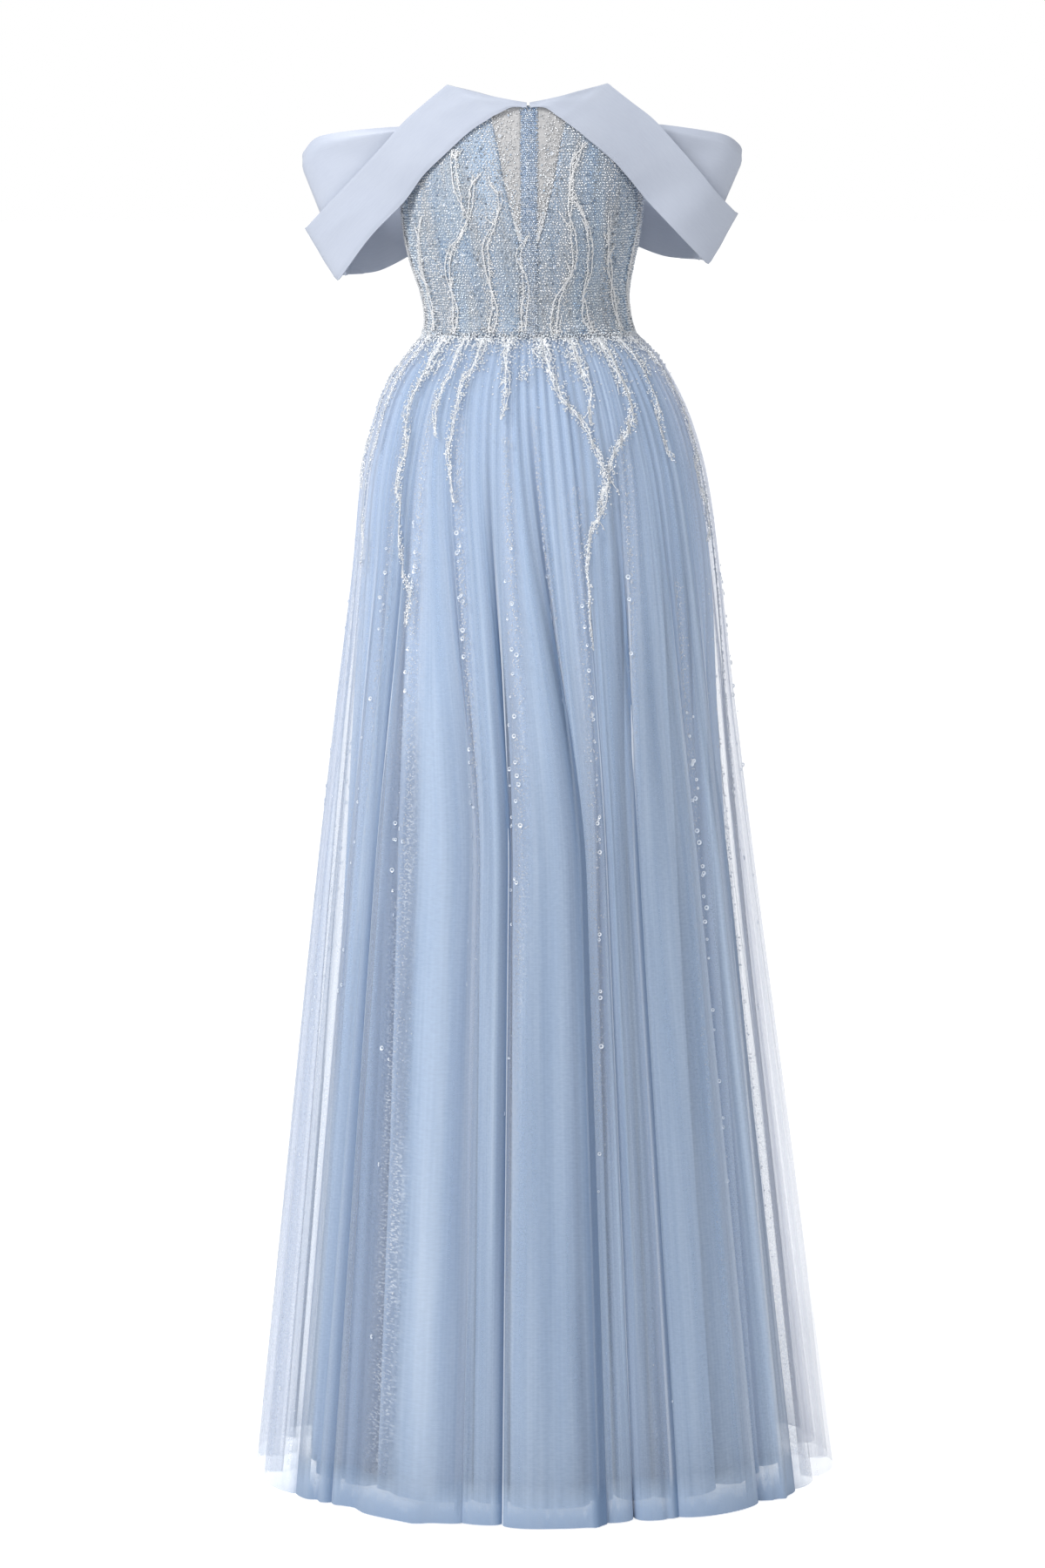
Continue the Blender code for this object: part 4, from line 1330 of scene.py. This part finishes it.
def scatter_bodice_sequins(random, finish):
    turn = random.uniform(-85, 265, BODICE_SEQUINS)
    height = random.uniform(0.01, 0.9, BODICE_SEQUINS) * bodice_top(turn)
    points, normals = lifted(bodice_surface, turn, height, 0.0020)
    sizes = random.uniform(0.0012, 0.0019, BODICE_SEQUINS)
    tones = random.uniform(0, 1, BODICE_SEQUINS)
    mesh = joined_copies("bodice_sequins", sequin_shape(), points, normals, sizes, tones)
    finished(mesh, finish)


def make_bodice_beads(glass, placket_glass, sequins):
    random = np.random.default_rng(11)
    bead_panels(random, glass)
    bead_placket(random, placket_glass)
    bead_waist(random, glass)
    bead_insets(random, glass)
    scatter_bodice_sequins(random, sequins)


# ---------------------------------------------------------------- embroidery and skirt beads

# Beads about a line of embroidery: how many, how far they scatter, and how crowded they are at its start.
BeadRun = namedtuple("BeadRun", "per_metre scatter crowd")
ABOUT_BODICE_VINE = BeadRun(1700, 0.0045, 1.8)
ALONG_BODICE_STRAND = BeadRun(800, 0.0009, 1.0)
ABOUT_SKIRT_VINE = BeadRun(4200, 0.0050, 1.9)
ALONG_SKIRT_STRAND = BeadRun(420, 0.0008, 1.0)

CLUSTER_BEADS = 70
WAIST_FRINGE_LENGTH = 0.011


def fold_width(height):
    """How wide a fold is, around the skirt, at some heights."""
    return 2 * math.pi * read(SKIRT, "left", height) / FOLD_COUNT


def beads_along(random, line, run):
    """Flat bead places scattered about a line."""
    length = len(line) * LINE_STEP
    share = random.uniform(0, 1, int(run.per_metre * length)) ** run.crowd
    at = share * (len(line) - 1)
    index = np.arange(len(line))
    beside = random.normal(0, run.scatter, share.size) * (1 - 0.75 * share)
    across = np.interp(at, index, line[:, 0]) + beside
    return across, np.interp(at, index, line[:, 1]) + random.normal(0, 0.0015, share.size)


def make_bodice_embroidery(thread, pearl_glass):
    random = np.random.default_rng(21)
    strands, spots = [], []
    for vine in BODICE_VINES:
        start = (math.radians(vine.turn) * BODICE_MEAN_RADIUS, vine.height)
        line, flats = grown_vine(random, start, vine.way, vine.length, BODICE_LOOPS)
        for flat in flats:
            turn = np.degrees(flat[:, 0] / BODICE_MEAN_RADIUS)
            height = np.clip(flat[:, 1], 0.002, bodice_top(turn) - 0.006)
            strands.append(lifted(bodice_surface, turn, height, CORD_LIFT_ON_BODICE)[0])
            spots.append(beads_along(random, flat, ALONG_BODICE_STRAND))
        spots.append(beads_along(random, line, ABOUT_BODICE_VINE))
    finished(cord_mesh("bodice_cords", strands, CORD_RADIUS_ON_BODICE), thread)
    across, height = np.concatenate(spots, axis=1)
    turn = np.degrees(across / BODICE_MEAN_RADIUS)
    height = np.clip(height, 0.001, bodice_top(turn) - 0.004)
    points, normals = lifted(bodice_surface, turn, height, CORD_LIFT_ON_BODICE)
    sizes = SMALL_BEAD_RADIUS * random.uniform(0.7, 1.05, turn.size)
    tones = random.uniform(0.4, 1.0, turn.size)
    mesh = joined_copies("bodice_vine_beads", bead_shape(), points, normals, sizes, tones)
    finished(mesh, pearl_glass)


def make_skirt_embroidery(thread, pearl_glass):
    """Vines that hang from the waist: thin cords, and pale beads crowded along the upper part of each."""
    random = np.random.default_rng(33)
    strands, spots = [], []
    for vine in SKIRT_VINES:
        line, flats = grown_vine(random, (0.0, -0.002), -1, vine.length, SKIRT_LOOPS)
        for flat in flats:
            place = vine.place + flat[:, 0] / fold_width(flat[:, 1])
            strands.append(lifted(outer_net, place, flat[:, 1], CORD_LIFT_ON_SKIRT)[0])
        for flat, run in [(line, ABOUT_SKIRT_VINE)] + [(flat, ALONG_SKIRT_STRAND) for flat in flats]:
            across, height = beads_along(random, flat, run)
            spots.append((vine.place + across / fold_width(height), np.minimum(height, -0.001)))
    fringe_height = -0.001 - random.exponential(WAIST_FRINGE_LENGTH, WAIST_FRINGE)
    spots.append((random.uniform(0, FOLD_COUNT, WAIST_FRINGE), fringe_height))
    for _ in range(WAIST_CLUSTERS):
        spread = random.normal(0, 1.0, (2, CLUSTER_BEADS))
        height = np.minimum(random.uniform(-0.040, -0.004) + 0.005 * spread[1], -0.001)
        spots.append((random.uniform(0, FOLD_COUNT) + 0.004 * spread[0] / fold_width(height), height))
    finished(cord_mesh("skirt_cords", strands, CORD_RADIUS_ON_SKIRT), thread)
    place, height = np.concatenate(spots, axis=1)
    points, normals = lifted(outer_net, place, height, 0.0006)
    sizes = SMALL_BEAD_RADIUS * random.uniform(0.75, 1.35, place.size)
    tones = random.uniform(0.45, 1.0, place.size)
    blueness = random.uniform(0.0, 0.4, place.size)
    mesh = joined_copies("vine_beads", bead_shape(), points, normals, sizes, tones, blueness)
    finished(mesh, pearl_glass)


def make_skirt_beads(pearl_glass, sequins):
    """Beads in the frosty bands of the glitter tulle, and strings of ring sequins on the net over them."""
    random = np.random.default_rng(45)
    bead_spots, sequin_spots = [], []
    for band in BANDS:
        length = band.bottom - band.top
        count = int(BEADS_PER_METRE * length * band.fullness)
        depth = band.top + length * random.uniform(0, 1, count) ** 1.2
        chance = np.exp(-np.maximum(depth - BEADS_FADE_BELOW, 0.0) / BEADS_FADE_OVER)
        kept = random.uniform(0, 1, count) < chance
        depth = depth[kept]
        spread = random.normal(0, 0.45 * band.half_width, depth.size)
        bead_spots.append(np.stack((band_place(band, depth) + spread, -depth)))
        count = int(SEQUINS_PER_BAND * band.fullness)
        depth = np.sort(np.clip(band.top + 0.10 + random.gamma(2.0, 0.11, count), 0.12, 1.1))
        spread = random.normal(0, 0.0016, count) / fold_width(-depth)
        sequin_spots.append(np.stack((band_place(band, depth) + spread, -depth)))
    place, height = np.concatenate(bead_spots, axis=1)
    points, normals = lifted(glitter_net, place, height, 0.0008)
    sizes = SMALL_BEAD_RADIUS * random.uniform(0.6, 1.15, place.size)
    tones = random.uniform(0.5, 1, place.size)
    mesh = joined_copies("column_beads", bead_shape(), points, normals, sizes, tones)
    finished(mesh, pearl_glass)
    place, height = np.concatenate(sequin_spots, axis=1)
    points, normals = lifted(outer_net, place, height, 0.0012)
    sizes = SEQUIN_RADIUS * random.uniform(0.45, 1.0, place.size)
    tones = random.uniform(0, 1, place.size)
    mesh = joined_copies("column_sequins", sequin_shape(), points, normals, sizes, tones)
    finished(mesh, sequins)


# ---------------------------------------------------------------- satin

# Soft creases in the satin: where along and across the ribbon, their length, width, slant and height.
SoftCrease = namedtuple("SoftCrease", "along across length width slant height")
COLLAR_CREASES = table(SoftCrease, [
    (0.20, 0.55, 0.10, 0.16, 0.9, 0.0008),
    (0.45, 0.40, 0.16, 0.20, -0.5, 0.0007),
    (0.66, 0.60, 0.07, 0.14, 1.4, 0.0012),
    (0.80, 0.35, 0.05, 0.18, -1.2, 0.0010),
])
SLEEVE_CREASES = table(SoftCrease, [
    (0.16, 0.50, 0.05, 0.20, 0.8, 0.0014),
    (0.31, 0.35, 0.04, 0.16, -1.1, 0.0018),
    (0.42, 0.60, 0.04, 0.14, 1.0, 0.0012),
    (0.53, 0.55, 0.04, 0.18, -0.8, -0.0012),
    (0.80, 0.70, 0.06, 0.16, -1.2, -0.0012),
])
SATIN_EDGE_ROUND = 0.0009
RIBBON_NUDGE = (0.02, 0.01)  # in rows along and shares across, for finding a ribbon's normal
ROLL_STARTS = 0.86  # share of the sleeve's depth above which its edge rolls in, and the share it takes
ROLL_OVER = 0.14

HOOK_RADIUS = 0.0022
HOOK_WIRE = 0.0005
HOOK_FORWARD = -0.1042
HOOK_HEIGHT = 0.2305
HOOK_POINTS = 15


def crease_height(creases, along, across):
    total = np.zeros_like(along)
    for crease in creases:
        beside = along - crease.along
        off_line = across - crease.across - crease.slant * beside
        total += crease.height * np.exp(-((beside / crease.length) ** 2) - (off_line / crease.width) ** 2)
    return total


def satin_piece(mesh, finish, nodes):
    piece = finished(mesh, finish, nodes)
    give_wall(piece, SATIN_WALL)
    round_edges(piece, SATIN_EDGE_ROUND, 3)
    return piece


def make_collar(rows, name, away, finish):
    """One collar strip. Away is 1 where its rows run so that the normal points out, and -1 where not."""
    ribbon = tuple(with_corner(rows, COLLAR_CORNER))

    def surface(place, width):
        return ribbon_surface(ribbon, place, width)

    def strip(along, up):
        outward = along if away > 0 else 1 - along
        across = up**1.35
        turned = eased((TURNED_EDGE - across) / 0.012) * TURNED_EDGE_STEP * eased(outward / 0.1)
        raised = crease_height(COLLAR_CREASES, outward, across) - turned
        return lifted(surface, outward * (len(rows) - 1), across, raised * away, RIBBON_NUDGE)[0]

    mesh = sheet_mesh(f"satin_collar_{name}", 110, 20, strip, (0.42, 0.064))
    piece = satin_piece(mesh, finish, [f"collar_{name}"])


def make_sleeve(rows, name, away, finish):
    """One sleeve with its back band, in the same terms."""
    ribbon = (range(len(rows)), rows)

    def surface(place, width):
        return ribbon_surface(ribbon, place, width)

    def loop(along, up):
        outward = along if away > 0 else 1 - along
        edge = eased((up - ROLL_STARTS) / ROLL_OVER) ** 2
        rolled_in = SLEEVE_ROLL * edge * eased((outward - 0.30) / 0.10)
        raised = crease_height(SLEEVE_CREASES, outward, up) - rolled_in
        return lifted(surface, outward * (len(rows) - 1), up, raised * away, RIBBON_NUDGE)[0]

    mesh = sheet_mesh(f"satin_sleeve_{name}", 140, 26, loop, (0.46, 0.11))
    piece = satin_piece(mesh, finish, [f"back_band_{name}", f"sleeve_{name}"])


def make_satin(finish):
    for rows, name, away in ((COLLAR_RIGHT, "right", -1), (COLLAR_LEFT, "left", 1)):
        make_collar(rows, name, away, finish)
    for rows, name, away in ((SLEEVE_RIGHT, "right", 1), (SLEEVE_LEFT, "left", -1)):
        make_sleeve(rows, name, away, finish)


def make_neck_hook(finish):
    """The small wire hook that holds the collar halves together at the neck point."""
    angle = np.linspace(0, 1.6 * math.pi, HOOK_POINTS)
    aside = HOOK_RADIUS * np.sin(angle)
    height = HOOK_HEIGHT + HOOK_RADIUS * np.cos(angle)
    ring = np.stack((aside, np.full(HOOK_POINTS, HOOK_FORWARD), height), axis=-1)
    finished(cord_mesh("neck_hook", [ring], HOOK_WIRE), finish)


# ---------------------------------------------------------------- floor, light and camera


def make_floor(finish):
    bm = bmesh.new()
    bmesh.ops.create_grid(bm, x_segments=1, y_segments=1, size=45.0)
    bmesh.ops.translate(bm, verts=bm.verts, vec=(0.0, 0.0, FLOOR_HEIGHT))
    mesh = bpy.data.meshes.new("floor")
    bm.to_mesh(mesh)
    bm.free()
    mesh.materials.append(finish)
    floor = bpy.data.objects.new("floor", mesh)
    bpy.context.scene.collection.objects.link(floor)


def area_light(name, place, target, size, power):
    light = bpy.data.lights.new(name, "AREA")
    light.shape = "DISK"
    light.size = size
    light.energy = power
    lamp = bpy.data.objects.new(name, light)
    lamp.location = place
    lamp.rotation_euler = (Vector(target) - Vector(place)).to_track_quat("-Z", "Y").to_euler()
    bpy.context.scene.collection.objects.link(lamp)


def make_world():
    """White to the camera, and a softer white as light."""
    world = bpy.data.worlds.new("studio")
    world.use_nodes = True
    tree = world.node_tree
    tree.nodes.clear()
    seen = new_node(tree, "ShaderNodeBackground", {"Color": (1, 1, 1, 1), "Strength": 1.0})
    light = new_node(tree, "ShaderNodeBackground", {"Color": (0.965, 0.98, 1.0, 1), "Strength": WORLD_LIGHT})
    path = new_node(tree, "ShaderNodeLightPath")
    mix = new_node(tree, "ShaderNodeMixShader")
    out = new_node(tree, "ShaderNodeOutputWorld")
    tree.links.new(path.outputs["Is Camera Ray"], mix.inputs[0])
    tree.links.new(light.outputs[0], mix.inputs[1])
    tree.links.new(seen.outputs[0], mix.inputs[2])
    tree.links.new(mix.outputs[0], out.inputs["Surface"])
    bpy.context.scene.world = world


def make_camera():
    lens = bpy.data.cameras.new("camera")
    lens.sensor_width = 36.0
    lens.lens = CAMERA_LENS
    camera = bpy.data.objects.new("camera", lens)
    camera.location = CAMERA_PLACE
    camera.rotation_euler = (math.radians(90 - CAMERA_TILT), 0.0, 0.0)
    bpy.context.scene.collection.objects.link(camera)
    bpy.context.scene.camera = camera


# ---------------------------------------------------------------- the gown

SILVER_TONES = ((0.15, 0.17, 0.20), (0.60, 0.62, 0.65), (0.97, 0.97, 0.98))
BLUE_TONES = ((0.11, 0.21, 0.36), (0.46, 0.62, 0.82), (0.86, 0.93, 0.99))
PLACKET_BLUE_TONES = ((0.20, 0.32, 0.52), (0.40, 0.57, 0.82), (0.80, 0.88, 0.98))
PEARL_TONES = ((0.66, 0.68, 0.72), (0.84, 0.85, 0.87), (0.98, 0.98, 0.98))

glass = bead_finish("glass_beads", SILVER_TONES, BLUE_TONES)
placket_glass = bead_finish("placket_glass", SILVER_TONES, PLACKET_BLUE_TONES)
pearl_glass = bead_finish("pearl_glass", PEARL_TONES, BLUE_TONES)
sequins = sequin_finish()
thread = cord_finish()
beaded_cloth = beaded_cloth_finish()

make_outer_tulle(outer_tulle_finish())
make_glitter_tulle(glitter_tulle_finish())
make_lining(lining_finish())
make_bodice(beaded_cloth, illusion_finish())
make_bodice_beads(glass, placket_glass, sequins)
make_bodice_embroidery(thread, pearl_glass)
make_skirt_embroidery(thread, pearl_glass)
make_skirt_beads(pearl_glass, sequins)
make_satin(satin_finish())
make_neck_hook(hook_finish())

make_floor(floor_finish())
make_world()
area_light("key", place=(-2.3, -2.5, 2.5), target=(0.0, 0.0, -0.1), size=1.6, power=130.0)
area_light("fill", place=(3.2, -3.0, 0.9), target=(0.0, 0.0, -0.2), size=2.4, power=22.0)
make_camera()
bpy.context.scene.view_settings.view_transform = "Standard"
